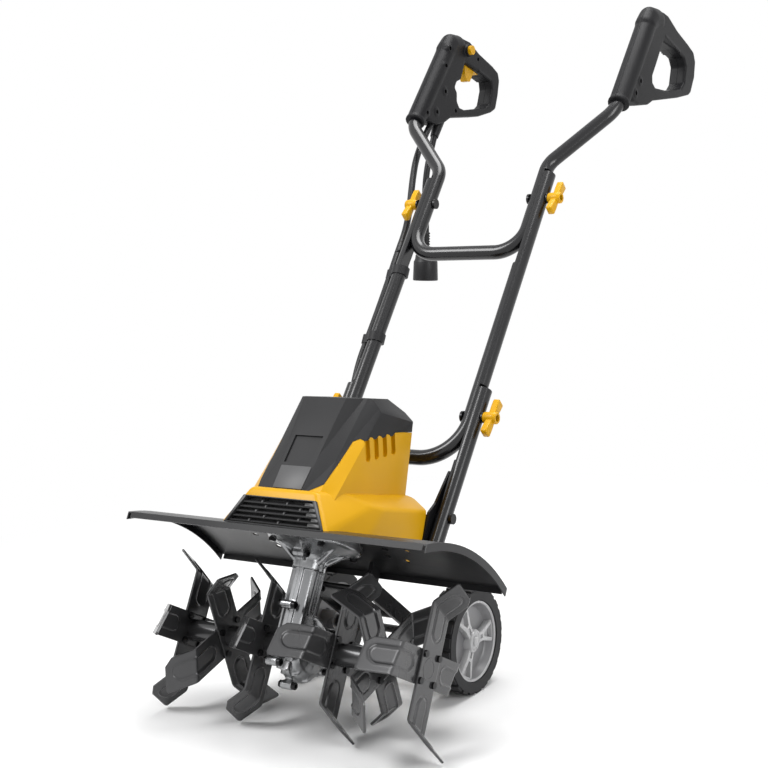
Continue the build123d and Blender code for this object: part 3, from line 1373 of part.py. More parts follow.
UPPER_CABLE = ((-160, 227, 822), (-154, 206, 764), (-147, 191, 726), (-141.5, 183, 688), (-140.5, 181, 654))
MIDDLE_CABLE = (
    (-128, 181, 651), (-124, 177, 616), (-115, 158, 572), (-110, 145.5, 520), (-109, 133, 450), (-109, 123, 400),
    (-109, 123.5, 368),
)
LOWER_CABLE = (
    (-109, 123.6, 365), (-108, 124, 290), (-103, 116, 245), (-90, 108, 216), (-70, 92, 194), (-54, 70, 182),
    (-48, 44, 176),
)
PIGTAIL_X = -GRIP_X
RELIEF_START = (PIGTAIL_X, 246.0, 836.0)
RELIEF_END = (PIGTAIL_X, 243.0, 806.0)
PIGTAIL_ROUTE = (
    RELIEF_END, (-162, 244, 780), (-166, 253, 745), (-169, 270, 710), (-170, 288, 682), (-170.5, 293, 672)
)
PLUG_DIAMETER = 38.0

with BuildPart() as cable_upper:
    cable_upper_volume = laid_cord("cable_upper", UPPER_CABLE, CABLE_DIA)
    add(grip_left_outer.part, mode=Mode.SUBTRACT)
    add(grip_left_inner.part, mode=Mode.SUBTRACT)
cable_upper.part.label = "cable_upper"

with BuildPart() as cable_middle:
    cable_middle_volume = laid_cord("cable_middle", MIDDLE_CABLE, CABLE_DIA)
cable_middle.part.label = "cable_middle"

with BuildPart() as cable_lower:
    cable_lower_volume = laid_cord("cable_lower", LOWER_CABLE, CABLE_DIA)
cable_lower.part.label = "cable_lower"

with BuildPart() as pigtail:
    pigtail_volume = laid_cord("pigtail", PIGTAIL_ROUTE, CABLE_DIA)
pigtail.part.label = "pigtail"

for cord, expected in (
    (cable_upper, cable_upper_volume),
    (cable_middle, cable_middle_volume),
    (cable_lower, cable_lower_volume),
    (pigtail, pigtail_volume),
):
    print(cord.part.label, "volume", round(cord.part.volume), "expected", round(expected))


def span_plane(a, b):
    """Plane square to the line between two machine points, at the first."""
    return stood(Plane(origin=a, z_dir=Vector(*b) - Vector(*a)))


def span_piece(a, b, start_radius, end_radius):
    """Tapered round piece between two machine points."""
    with BuildSketch(span_plane(a, b)) as first:
        Circle(start_radius)
    far = span_plane(a, b).offset((Vector(*b) - Vector(*a)).length)
    with BuildSketch(far) as second:
        Circle(end_radius)
    loft([first.sketch, second.sketch])


with BuildPart() as cord_relief:
    span_piece(RELIEF_START, RELIEF_END, 8.5, 6.2)
    add(pigtail.part, mode=Mode.SUBTRACT)
    add(grip_left_outer.part, mode=Mode.SUBTRACT)
    add(grip_left_inner.part, mode=Mode.SUBTRACT)
cord_relief.part.label = "cord_relief"

PLUG_START = PIGTAIL_ROUTE[-1]
PLUG_AXIS = (Vector(*PIGTAIL_ROUTE[-1]) - Vector(*PIGTAIL_ROUTE[-2])).normalized()


def down_plug(distance):
    """Machine point along the plug's axis."""
    point = Vector(*PLUG_START) + PLUG_AXIS * distance
    return (point.X, point.Y, point.Z)


with BuildPart() as plug:
    span_piece(down_plug(0), down_plug(22), 6.5, 9.0)
    span_piece(down_plug(22), down_plug(40), 16.0, 16.0)
    span_piece(down_plug(40), down_plug(72), PLUG_DIAMETER / 2 - 1, PLUG_DIAMETER / 2)
    with BuildSketch(span_plane(down_plug(44), down_plug(72))) as mouth:
        Circle(PLUG_DIAMETER / 2 - 3)
    extrude(mouth.sketch, amount=40, mode=Mode.SUBTRACT)
plug.part.label = "plug"

with BuildPart() as plug_pins:
    for across in (-6.5, 6.5):
        with BuildSketch(span_plane(down_plug(44), down_plug(72))) as pin:
            with Locations((across, 0)):
                Rectangle(1.6, 6.4)
        extrude(pin.sketch, amount=18)
plug_pins.part.label = "plug_pins"

with BuildPart() as cable_clips:
    for z, cable_x, cable_y in ((535.0, -111.0, 150.5), (430.0, -109.3, 129.3)):
        with BuildSketch(level(z - CLIP_WIDTH / 2)) as strap:
            with Locations((-MIDDLE_X, handle_y(z))):
                Ellipse(TUBE_DIA / 2 + 2.2, TUBE_DIA / 2 + 2.4)
            with Locations((cable_x, cable_y)):
                Circle(CABLE_DIA / 2 + 2.2)
            with Locations(((cable_x - MIDDLE_X) / 2, (cable_y + handle_y(z)) / 2)):
                Rectangle(14, 9)
        extrude(strap.sketch, amount=CLIP_WIDTH)
    add(middle_handle.part, mode=Mode.SUBTRACT)
    add(middle_bore.part, mode=Mode.SUBTRACT)
    add(cable_middle.part, mode=Mode.SUBTRACT)
cable_clips.part.label = "cable_clips"


# ---------------------------------------------------------------- export

os.makedirs("parts", exist_ok=True)
export_step(tine_star_outer_right.part, "parts/tine_star_outer_right.step")
export_step(tine_star_middle_right.part, "parts/tine_star_middle_right.step")
export_step(tine_star_inner_right.part, "parts/tine_star_inner_right.step")
export_step(tine_star_outer_left.part, "parts/tine_star_outer_left.step")
export_step(tine_star_middle_left.part, "parts/tine_star_middle_left.step")
export_step(tine_star_inner_left.part, "parts/tine_star_inner_left.step")
export_step(tine_rivets.part, "parts/tine_rivets.step")
export_step(tine_hubs.part, "parts/tine_hubs.step")
export_step(tine_shaft.part, "parts/tine_shaft.step")
export_step(worm_wheel.part, "parts/worm_wheel.step")
export_step(motor_shaft.part, "parts/motor_shaft.step")
export_step(gearbox_right.part, "parts/gearbox_right.step")
export_step(gearbox_left.part, "parts/gearbox_left.step")
export_step(gearbox_bearings.part, "parts/gearbox_bearings.step")
export_step(shield.part, "parts/shield.step")
export_step(gearbox_screws.part, "parts/gearbox_screws.step")
export_step(motor_shroud.part, "parts/motor_shroud.step")
export_step(motor_cover.part, "parts/motor_cover.step")
export_step(grille.part, "parts/grille.step")
export_step(front_plate.part, "parts/front_plate.step")
export_step(lower_end_frame.part, "parts/lower_end_frame.step")
export_step(stator.part, "parts/stator.step")
export_step(upper_end_frame.part, "parts/upper_end_frame.step")
export_step(brush_holders.part, "parts/brush_holders.step")
export_step(armature.part, "parts/armature.step")
export_step(cooling_fan.part, "parts/cooling_fan.step")
export_step(tyre_right.part, "parts/tyre_right.step")
export_step(rim_right.part, "parts/rim_right.step")
export_step(tyre_left.part, "parts/tyre_left.step")
export_step(rim_left.part, "parts/rim_left.step")
export_step(wheel_axle.part, "parts/wheel_axle.step")
export_step(wheel_bracket.part, "parts/wheel_bracket.step")
export_step(pivot_pin.part, "parts/pivot_pin.step")
export_step(middle_handle.part, "parts/middle_handle.step")
export_step(upper_handle.part, "parts/upper_handle.step")
export_step(strut_right.part, "parts/strut_right.step")
export_step(strut_left.part, "parts/strut_left.step")
export_step(strut_brackets.part, "parts/strut_brackets.step")
export_step(strut_fasteners.part, "parts/strut_fasteners.step")
export_step(upper_knob_bolts.part, "parts/upper_knob_bolts.step")
export_step(lower_knob_right.part, "parts/lower_knob_right.step")
export_step(upper_knob_right.part, "parts/upper_knob_right.step")
export_step(lower_knob_left.part, "parts/lower_knob_left.step")
export_step(upper_knob_left.part, "parts/upper_knob_left.step")
export_step(grip_right_outer.part, "parts/grip_right_outer.step")
export_step(grip_right_inner.part, "parts/grip_right_inner.step")
export_step(grip_left_outer.part, "parts/grip_left_outer.step")
export_step(grip_left_inner.part, "parts/grip_left_inner.step")
export_step(grip_fasteners.part, "parts/grip_fasteners.step")
export_step(trigger.part, "parts/trigger.step")
export_step(lock_button.part, "parts/lock_button.step")
export_step(switch_block.part, "parts/switch_block.step")
export_step(cable_upper.part, "parts/cable_upper.step")
export_step(cable_middle.part, "parts/cable_middle.step")
export_step(cable_lower.part, "parts/cable_lower.step")
export_step(pigtail.part, "parts/pigtail.step")
export_step(cord_relief.part, "parts/cord_relief.step")
export_step(plug.part, "parts/plug.step")
export_step(plug_pins.part, "parts/plug_pins.step")
export_step(cable_clips.part, "parts/cable_clips.step")
print("lean", round(LEAN, 3), "ground", round(GROUND, 3))
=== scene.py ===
import bpy, bmesh, math
from mathutils import Vector, Matrix


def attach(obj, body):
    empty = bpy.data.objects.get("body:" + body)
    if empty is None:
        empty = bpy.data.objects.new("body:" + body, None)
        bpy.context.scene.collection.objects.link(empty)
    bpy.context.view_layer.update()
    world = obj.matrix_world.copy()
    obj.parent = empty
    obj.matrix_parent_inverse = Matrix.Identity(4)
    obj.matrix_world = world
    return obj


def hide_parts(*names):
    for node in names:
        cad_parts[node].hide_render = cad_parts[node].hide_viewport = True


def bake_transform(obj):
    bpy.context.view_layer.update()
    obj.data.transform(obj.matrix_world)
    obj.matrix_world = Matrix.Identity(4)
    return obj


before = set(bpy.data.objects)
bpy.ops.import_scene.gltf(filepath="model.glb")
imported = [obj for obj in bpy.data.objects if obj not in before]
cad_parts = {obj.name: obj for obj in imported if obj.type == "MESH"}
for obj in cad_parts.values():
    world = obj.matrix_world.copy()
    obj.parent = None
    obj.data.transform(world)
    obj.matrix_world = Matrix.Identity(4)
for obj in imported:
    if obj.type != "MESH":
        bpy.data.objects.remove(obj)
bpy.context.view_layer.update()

# The machine leans back on its tines and wheels. Pieces are written in the machine's own
# frame in millimetres: origin on the tine axle, X right, Y to the rear, Z up the gearbox leg.
LEAN = math.radians(28.6289)
GROUND = 93.5924
SHIFT = -361.0
COS = math.cos(LEAN)
SIN = math.sin(LEAN)
STAND = Matrix(((0.001, 0, 0, 0), (0, 0.001 * COS, 0.001 * SIN, SHIFT / 1000),
                (0, -0.001 * SIN, 0.001 * COS, GROUND / 1000), (0, 0, 0, 1)))


def at(x, y, z):
    """Scene point in metres of a machine point in millimetres."""
    return STAND @ Vector((x, y, z))


# ---------------------------------------------------------------- materials


def shader(name, colour, rough, metallic=0.0, specular=0.5, coat=0.0, coat_rough=0.1):
    """Principled material with its even values on the shader's own sockets."""
    material = bpy.data.materials.new(name)
    material.use_nodes = True
    tree = material.node_tree
    principled = tree.nodes["Principled BSDF"]
    principled.inputs["Base Color"].default_value = (*colour, 1)
    principled.inputs["Roughness"].default_value = rough
    principled.inputs["Metallic"].default_value = metallic
    principled.inputs["Specular IOR Level"].default_value = specular
    principled.inputs["Coat Weight"].default_value = coat
    principled.inputs["Coat Roughness"].default_value = coat_rough
    return material, tree, principled


def node(tree, kind, **values):
    """Node with the given socket values or settings."""
    made = tree.nodes.new(kind)
    for key, value in values.items():
        if key in made.inputs:
            made.inputs[key].default_value = value
        else:
            setattr(made, key, value)
    return made


def noise(tree, scale, detail=3.0, rough=0.5):
    """Noise on object coordinates."""
    coords = node(tree, "ShaderNodeTexCoord")
    made = node(tree, "ShaderNodeTexNoise", Scale=scale, Detail=detail, Roughness=rough)
    tree.links.new(coords.outputs["Object"], made.inputs["Vector"])
    return made


def vary(tree, source, target, low, high, start=0.3, end=0.7):
    """Drives a number between two values from a noise."""
    made = node(tree, "ShaderNodeMapRange")
    made.inputs["From Min"].default_value = start
    made.inputs["From Max"].default_value = end
    made.inputs["To Min"].default_value = low
    made.inputs["To Max"].default_value = high
    tree.links.new(source, made.inputs["Value"])
    tree.links.new(made.outputs["Result"], target)


def tint(tree, source, target, dark, light, start=0.3, end=0.7):
    """Drives a colour between two tones from a noise."""
    ramp = node(tree, "ShaderNodeValToRGB")
    ramp.color_ramp.elements[0].position = start
    ramp.color_ramp.elements[0].color = (*dark, 1)
    ramp.color_ramp.elements[1].position = end
    ramp.color_ramp.elements[1].color = (*light, 1)
    tree.links.new(source, ramp.inputs["Fac"])
    tree.links.new(ramp.outputs["Color"], target)


def bump(tree, source, principled, strength, distance):
    """Fine relief from a noise, with its depth in metres."""
    made = node(tree, "ShaderNodeBump", Strength=strength, Distance=distance)
    tree.links.new(source, made.inputs["Height"])
    tree.links.new(made.outputs["Normal"], principled.inputs["Normal"])


def finish_material(name, dark, light, rough, rough_span, grain, grain_depth, **more):
    """Finish with broad tone and gloss changes, and a fine grain where it has a depth."""
    material, tree, principled = shader(name, light, rough, **more)
    broad = noise(tree, 9.0, 4.0)
    fine = noise(tree, grain, 3.0)
    tint(tree, broad.outputs["Fac"], principled.inputs["Base Color"], dark, light)
    vary(tree, broad.outputs["Fac"], principled.inputs["Roughness"], rough - rough_span, rough + rough_span)
    if grain_depth:
        bump(tree, fine.outputs["Fac"], principled, 0.25, grain_depth)
    return material


YELLOW = finish_material("yellow_plastic", (0.54, 0.283, 0.001), (0.61, 0.320, 0.002), 0.36, 0.05, 900,
                         0.0002, specular=0.22)
BLACK = finish_material("black_plastic", (0.016, 0.016, 0.017), (0.023, 0.023, 0.024), 0.46, 0.06, 1400,
                        0.0003, specular=0.15)
GRIP = finish_material("grip_plastic", (0.006, 0.006, 0.007), (0.010, 0.010, 0.011), 0.48, 0.06, 1600, 0.0003,
                       specular=0.15)
LOUVRE = finish_material("louvre_plastic", (0.018, 0.018, 0.019), (0.027, 0.027, 0.028), 0.38, 0.05, 1400,
                         0.0002, specular=0.4)
PLATE = finish_material("plate_finish", (0.062, 0.062, 0.064), (0.078, 0.078, 0.080), 0.38, 0.05, 1500,
                        0.0001, specular=0.3)
TUBE = finish_material("tube_enamel", (0.004, 0.004, 0.005), (0.006, 0.006, 0.007), 0.22, 0.004, 120, 0)
SHIELD = finish_material("shield_enamel", (0.010, 0.010, 0.011), (0.017, 0.017, 0.018), 0.36, 0.06, 300,
                         0.0001, specular=0.3)
TINE = finish_material("tine_enamel", (0.045, 0.045, 0.047), (0.068, 0.068, 0.070), 0.24, 0.06, 300, 0.0001,
                       metallic=0.4, coat=0.15)
DARK = finish_material("dark_enamel", (0.006, 0.006, 0.007), (0.010, 0.010, 0.011), 0.26, 0.05, 400, 0)
TYRE = finish_material("tyre_rubber", (0.009, 0.009, 0.010), (0.016, 0.016, 0.017), 0.60, 0.08, 700, 0.0004,
                       specular=0.3)
RIM = finish_material("rim_plastic", (0.13, 0.13, 0.135), (0.17, 0.17, 0.175), 0.30, 0.06, 500, 0.0001)
SPOKE = finish_material("spoke_finish", (0.33, 0.33, 0.335), (0.41, 0.41, 0.415), 0.26, 0.05, 500, 0.0001)
ALLOY = finish_material("cast_alloy", (0.22, 0.223, 0.23), (0.34, 0.345, 0.352), 0.25, 0.07, 220, 0.0002,
                        metallic=0.9)
STEEL = finish_material("bright_steel", (0.50, 0.50, 0.51), (0.62, 0.62, 0.63), 0.26, 0.06, 700, 0.0001,
                        metallic=1.0)
BRONZE = finish_material("bronze", (0.55, 0.36, 0.14), (0.66, 0.45, 0.20), 0.32, 0.06, 600, 0.0001,
                         metallic=1.0)
CORD = finish_material("cord_jacket", (0.007, 0.007, 0.008), (0.011, 0.011, 0.012), 0.42, 0.06, 700, 0.0001,
                       specular=0.3)
SCREW = finish_material("blackened_screw", (0.008, 0.008, 0.009), (0.014, 0.014, 0.015), 0.26, 0.05, 600, 0,
                        metallic=0.6)

# ---------------------------------------------------------------- mesh helpers


def linked(name, data):
    """Object in the scene from its data."""
    made = bpy.data.objects.new(name, data)
    bpy.context.collection.objects.link(made)
    return made


def standing_piece(name, bm, material):
    """Stands a mesh from the machine's frame in the scene, smooth shaded."""
    bmesh.ops.transform(bm, matrix=STAND, verts=bm.verts)
    mesh = bpy.data.meshes.new(name)
    bm.to_mesh(mesh)
    bm.free()
    for face in mesh.polygons:
        face.use_smooth = True
    mesh.materials.append(material)
    return linked(name, mesh)


def finished(name, bm, body, material, replaced, angle=35.0):
    """Turns a mesh in the machine's frame into a piece that rides on a body."""
    bmesh.ops.recalc_face_normals(bm, faces=bm.faces)
    made = standing_piece(name, bm, material)
    made.data.set_sharp_from_angle(angle=math.radians(angle))
    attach(made, body)
    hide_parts(*replaced)
    return made


def bevelled(bm, width, segments=2, angle=25.0):
    """Rounds every edge sharper than an angle."""
    limit = math.radians(angle)
    edges = [e for e in bm.edges if len(e.link_faces) == 2 and e.calc_face_angle(0.0) > limit]
    if edges:
        bmesh.ops.bevel(bm, geom=edges, offset=width, offset_type="OFFSET", segments=segments, profile=0.5,
                        affect="EDGES", clamp_overlap=True, material=-1)
    return bm


def cut_away(bm, point, normal):
    """Clears what lies beyond a plane and gives the edges of the opening."""
    geometry = bm.verts[:] + bm.edges[:] + bm.faces[:]
    cut = bmesh.ops.bisect_plane(bm, geom=geometry, plane_co=point, plane_no=normal, clear_outer=True)
    return [e for e in cut["geom_cut"] if isinstance(e, bmesh.types.BMEdge)]


def sliced(bm, a, b, c, inside=(0, -20, 180)):
    """Keeps the side of a plane through three points that holds the inside point."""
    a, b, c = Vector(a), Vector(b), Vector(c)
    normal = (b - a).cross(c - a).normalized()
    if normal.dot(Vector(inside) - a) > 0:
        normal = -normal
    rim = cut_away(bm, a, normal)
    if rim:
        bmesh.ops.contextual_create(bm, geom=rim)


def sliced_both(bm, a, b, c):
    """Slices with a plane and with its mirror image across the machine."""
    sliced(bm, a, b, c)
    sliced(bm, (-a[0], a[1], a[2]), (-b[0], b[1], b[2]), (-c[0], c[1], c[2]))


def extruded(outline, move):
    """Solid from a flat outline of machine points, extruded by a vector."""
    bm = bmesh.new()
    face = bm.faces.new([bm.verts.new(point) for point in outline])
    made = bmesh.ops.extrude_face_region(bm, geom=[face])
    moved = [v for v in made["geom"] if isinstance(v, bmesh.types.BMVert)]
    bmesh.ops.translate(bm, vec=move, verts=moved)
    bmesh.ops.recalc_face_normals(bm, faces=bm.faces)
    return bm


def prism(outline, x0, x1):
    """Solid with a side-view outline of (y, z) points between two stations across the machine."""
    return extruded([(x0, y, z) for y, z in outline], (x1 - x0, 0, 0))


def slab(corners, thickness):
    """Solid from a flat outline of machine points, grown along its normal by a thickness."""
    first, second, third = (Vector(corner) for corner in corners[:3])
    normal = (second - first).cross(third - first).normalized()
    return extruded(corners, normal * thickness)


def lathe(profile, origin, axis=(1, 0, 0), segments=48):
    """Solid of revolution from (along, radius) points about an axis through a machine point."""
    bm = bmesh.new()
    axis = Vector(axis).normalized()
    side = axis.orthogonal().normalized()
    line = [bm.verts.new(Vector(origin) + axis * along + side * radius) for along, radius in profile]
    edges = [bm.edges.new(pair) for pair in zip(line, line[1:])]
    bmesh.ops.spin(bm, geom=line + edges, cent=origin, axis=axis, dvec=(0, 0, 0), angle=2 * math.pi,
                   steps=segments, use_merge=True)
    bmesh.ops.remove_doubles(bm, verts=bm.verts, dist=0.0005)
    bmesh.ops.recalc_face_normals(bm, faces=bm.faces)
    return bm


def merged(*meshes):
    """One mesh from several, which are used up."""
    whole = bmesh.new()
    for part in meshes:
        data = bpy.data.meshes.new("joining")
        part.to_mesh(data)
        part.free()
        whole.from_mesh(data)
        bpy.data.meshes.remove(data)
    return whole


def discard(made):
    """Removes an object with its data."""
    data = made.data
    bpy.data.objects.remove(made)
    (bpy.data.curves if isinstance(data, bpy.types.Curve) else bpy.data.meshes).remove(data)


def take_mesh(made):
    """Reads an object's evaluated mesh and removes the object."""
    depsgraph = bpy.context.evaluated_depsgraph_get()
    depsgraph.update()
    result = bpy.data.meshes.new_from_object(made.evaluated_get(depsgraph))
    out = bmesh.new()
    out.from_mesh(result)
    bpy.data.meshes.remove(result)
    discard(made)
    return out


def as_object(bm, name):
    """Object from a mesh, which is used up."""
    mesh = bpy.data.meshes.new(name)
    bm.to_mesh(mesh)
    bm.free()
    return linked(name, mesh)


def carved(bm, cutters, operation="DIFFERENCE", tidy=True):
    """Exact cut or meeting of a closed mesh with others."""
    base = as_object(bm, "carving")
    tools = [as_object(cutter, "cutter") for cutter in cutters]
    for tool in tools:
        modifier = base.modifiers.new("cut", "BOOLEAN")
        modifier.operation = operation
        modifier.solver = "EXACT"
        modifier.object = tool
    out = take_mesh(base)
    for tool in tools:
        discard(tool)
    if tidy:
        bmesh.ops.remove_doubles(out, verts=out.verts, dist=0.01)
        bmesh.ops.dissolve_limit(out, angle_limit=math.radians(1.0), verts=out.verts, edges=out.edges)
    return out


def limb(stations):
    """Chain of rounded bodies through (x, y, z, half-width, radius) stations."""
    whole = bmesh.new()
    for first, second in zip(stations, stations[1:]):
        pair = bmesh.new()
        for x, y, z, wide, radius in (first, second):
            ball = bmesh.ops.create_icosphere(pair, subdivisions=3, radius=1.0)
            bmesh.ops.scale(pair, vec=(wide, radius, radius), verts=ball["verts"])
            bmesh.ops.translate(pair, vec=(x, y, z), verts=ball["verts"])
        bmesh.ops.delete(pair, geom=pair.edges[:], context="EDGES_FACES")
        bmesh.ops.convex_hull(pair, input=pair.verts[:])
        loose = [v for v in pair.verts if not v.link_faces]
        bmesh.ops.delete(pair, geom=loose, context="VERTS")
        whole = merged(whole, pair)
    return whole


def fused(bm, voxel, rounds):
    """One skin over touching bodies, with its creases softened as a moulding's or casting's are."""
    made = as_object(bm, "fusing")
    skin = made.modifiers.new("skin", "REMESH")
    skin.mode = "VOXEL"
    skin.voxel_size = voxel
    soft = made.modifiers.new("soft", "SMOOTH")
    soft.factor = 0.5
    soft.iterations = rounds
    return take_mesh(made)


def parted(bm, x, gap):
    """Splits a closed moulding into two closed halves with a fine gap at a plane across the machine."""
    halves = []
    for sign in (1, -1):
        half = bm.copy()
        rim = cut_away(half, (x + sign * gap, 0, 0), (-sign, 0, 0))
        bmesh.ops.triangle_fill(half, edges=rim, use_beauty=True)
        halves.append(half)
    bm.free()
    return merged(*halves)


def peg(x0, x1, radius, y, z, segments=24):
    """Round bar lying across the machine between two stations."""
    return lathe([(0, 0), (0, radius), (x1 - x0, radius), (x1 - x0, 0)], (x0, y, z), (1, 0, 0), segments)


# ---------------------------------------------------------------- tines


def smooth(value, low, high):
    """Smooth step from 0 to 1 between two values."""
    t = min(1.0, max(0.0, (value - low) / (high - low)))
    return t * t * (3 - 2 * t)


ARM_BEND = 62.7
ARM_REACH = 36.0
ARM_ROWS = 96
BEAD_MIDDLE = 61.0
BEAD_HALF = 21.5


def bead_lift(across, out):
    """Height of the pressed bead above the strip, with a fine groove round it."""
    reach = max(0.0, abs(out - BEAD_MIDDLE) - BEAD_HALF)
    distance = math.hypot(across, reach)
    lift = 0.9 * (1 - smooth(distance, 7.4, 9.6))
    groove = 0.55 * math.exp(-((distance - 10.2) / 0.8) ** 2)
    return lift - groove


def bent_arm(middle_x, turn, bend, direction, thick=3.0):
    """One arm of a pressed strip with its skewed rounded bend and cut corner, open towards the axle."""
    turn = math.radians(turn)
    skew = math.radians(18.0)
    angle = math.radians(bend)
    along = Vector((0, math.sin(turn), math.cos(turn)))
    across = Vector((0, math.cos(turn), -math.sin(turn)))
    line = across * math.cos(skew) - along * math.sin(skew)
    flat = along * math.cos(skew) + across * math.sin(skew)
    outward = Vector((1, 0, 0))
    radius = 5.0
    tangent = radius * math.tan(abs(angle) / 2)
    shift = thick / 2 * math.tan(angle / 2)
    sign = 1 if angle > 0 else -1

    def placed(c, a):
        s = (a - ARM_BEND) * math.cos(skew) + c * math.sin(skew) - shift
        t = c * math.cos(skew) - (a - ARM_BEND) * math.sin(skew)
        base = Vector((middle_x, 0, 0)) + along * ARM_BEND + line * t + flat * shift
        if s <= -tangent:
            return base + flat * s, outward
        if s >= tangent:
            w = flat * math.cos(angle) + outward * math.sin(angle)
            return base + w * s, outward * math.cos(angle) - flat * math.sin(angle)
        phi = abs(angle) * (s + tangent) / (2 * tangent)
        point = flat * (-tangent + radius * math.sin(phi)) + outward * sign * radius * (1 - math.cos(phi))
        normal = outward * math.cos(phi) - flat * sign * math.sin(phi)
        return base + point, normal

    columns = [-19.0, -18.8, -18.3] + [-17.0 + i * 1.0 for i in range(35)] + [18.3, 18.8, 19.0]
    last = len(columns) - 1
    arm = bmesh.new()
    bmesh.ops.create_grid(arm, x_segments=last, y_segments=ARM_ROWS, size=0.5)
    grown = set(bmesh.ops.extrude_face_region(arm, geom=arm.faces[:])["geom"])
    inner = set()
    for vert in arm.verts:
        c = columns[round((vert.co.x + 0.5) * last)]
        row = round((vert.co.y + 0.5) * ARM_ROWS)
        if row == 0:
            inner.add(vert)
        half = thick / 2 - (0.5 if abs(c) > 18.9 else 0.15 if abs(c) > 18.6 else 0.0)
        half -= 0.5 if row == ARM_ROWS else 0.0
        top = ARM_BEND + (ARM_REACH - c * math.sin(skew)) / math.cos(skew)
        top -= max(0.0, c - 11.4) * 1.05
        top -= 2.0 * smooth(-c, 15.5, 19.0)
        point, normal = placed(c, top * row / ARM_ROWS)
        lift = bead_lift(c, top * row / ARM_ROWS) * direction
        vert.co = point + normal * (lift + (half if vert in grown else -half))
    open_end = [face for face in arm.faces if inner.issuperset(face.verts)]
    bmesh.ops.delete(arm, geom=open_end, context="FACES")
    return arm


def star(name, x, first_turn, mirrored):
    """Two pressed strips crossed on a hub, each welded from its two arms."""
    strips = []
    for quarter, middle, bend, direction in ((0.0, x - 1.5, 56.0, 1), (90.0, x - 4.5, -50.0, -1)):
        strip = merged(*(bent_arm(middle, first_turn + quarter + half_turn, bend, direction)
                         for half_turn in (0.0, 180.0)))
        bmesh.ops.remove_doubles(strip, verts=strip.verts, dist=0.001)
        strips.append(strip)
    bm = merged(*strips)
    if mirrored:
        bmesh.ops.scale(bm, vec=(-1, 1, 1), verts=bm.verts)
    finished(name + "_pressed", bm, "tine_rotor", TINE, [name], angle=40)


for station, first_turn, place in ((168.0, 0.0, "outer"), (110.0, 45.0, "middle"), (54.0, 0.0, "inner")):
    star("tine_star_%s_right" % place, station, first_turn, False)
    star("tine_star_%s_left" % place, station, first_turn, True)

# ---------------------------------------------------------------- motor housing


def base_block():
    """Wide foot of the housing, over the shield."""
    bm = bmesh.new()
    bmesh.ops.create_cube(bm, size=1.0)
    bmesh.ops.scale(bm, vec=(200, 240, 112), verts=bm.verts)
    bmesh.ops.translate(bm, vec=(0, -25, 146), verts=bm.verts)
    sliced(bm, (0, -110, 111.5), (40, -110, 111.5), (40, -107.7, 145.3))
    sliced_both(bm, (72.3, -110, 111.5), (86, -45, 132), (80, -45, 161))
    sliced_both(bm, (72.3, -110, 111.5), (51.4, -107.7, 145.3), (80, -45, 161))
    sliced_both(bm, (86, -45, 132), (88.5, 58, 152), (86, 60, 188))
    sliced_both(bm, (80, -45, 161), (86, 60, 188), (61, 55, 202))
    sliced(bm, (-40, -110, 155), (40, -110, 155), (0, 50, 202), inside=(0, -20, 130))
    sliced(bm, (-60, 60, 188), (60, 60, 188), (0, 60, 152), inside=(0, -20, 150))
    return bm


def body_ring(flat_x, flat_y, crease_x, crease_y, side_y, rear_y, z):
    """Outline of the housing's body at one height."""
    half = [(flat_x, flat_y), (crease_x, crease_y), (58.5, side_y), (58.5, rear_y - 10), (48, rear_y)]
    return [(x, y, z) for x, y in half] + [(-x, y, z) for x, y in half[::-1]]


def body_block():
    """Creased body of the housing, from its foot to its roof."""
    levels = [body_ring(21, -102.5, 44, -101, -90, 58, 150),
              body_ring(24.3, -90.6, 44.1, -82.9, -69.3, 57, 200),
              body_ring(31, -66.3, 44.3, -46, -27, 35, 302)]
    bm = bmesh.new()
    rings = [[bm.verts.new(p) for p in ring] for ring in levels]
    loops = [[bm.edges.new(pair) for pair in zip(ring, ring[1:] + ring[:1])] for ring in rings]
    for first, second in zip(loops, loops[1:]):
        bmesh.ops.bridge_loops(bm, edges=first + second)
    for first, second in zip(rings, rings[1:]):
        for start, end in zip(first, second[1:] + second[:1]):
            bmesh.ops.connect_verts(bm, verts=[start, end])
    for end in (rings[0], rings[-1]):
        bm.faces.new(end)
    bmesh.ops.recalc_face_normals(bm, faces=bm.faces)
    bmesh.ops.dissolve_limit(bm, angle_limit=math.radians(2.0), verts=bm.verts, edges=bm.edges)
    sliced(bm, (0, -74, 276), (40, -12, 298.5), (-40, -12, 298.5))
    sliced(bm, (40, -12, 299), (-40, -12, 299), (0, 30, 291))
    sliced_both(bm, (45, -6, 297), (58.5, 24, 284), (58.5, -40, 272))
    sliced(bm, (0, 20, 294), (40, 20, 292.5), (0, 36, 284))
    return bm


def front_point(x, z, lift=0.0):
    """Point on the cover's flat front, at a lift off its face."""
    t = (z - 150) / 152
    return Vector((x, -102.5 + 36.2 * t - 0.973 * lift, z + 0.231 * lift))


def front_tool(corners, deep, proud=6.0):
    """Cutter on the cover's front through (x, z) corners."""
    inner = [front_point(x, z, -deep) for x, z in corners]
    return extruded(inner, front_point(0, 150, proud) - front_point(0, 150, -deep))


def scallop_edge():
    """Side-view edge of the cover, with four lobes between the grooves."""
    points = [(-130, 140), (-103, 149.5), (-67, 227.5)]
    for number in range(4):
        y = -57.0 + 15.5 * number
        z = 236.0 + 7.2 * number
        points += [(y - 3.6, z - 3.0), (y, z - 4.2), (y + 4.5, z - 2.0), (y + 7.6, z + 3.4)]
    points += [(10, 266.0), (28, 272), (70, 286)]
    return points


def cover_prism():
    """Everything above the cover's lower edge."""
    return prism(scallop_edge() + [(70, 340), (-140, 340)], -90, 90)


SHIELD_Y = -27
SHIELD_Z = -116


def arch_block(radius):
    """Solid bounded by the shield's arch, for cutting what stands on it."""
    ring = []
    for i in range(73):
        angle = math.radians(i * 2.5)
        ring.append((SHIELD_Y + radius * math.cos(angle), SHIELD_Z + radius * math.sin(angle)))
    return prism(ring, -150, 150)


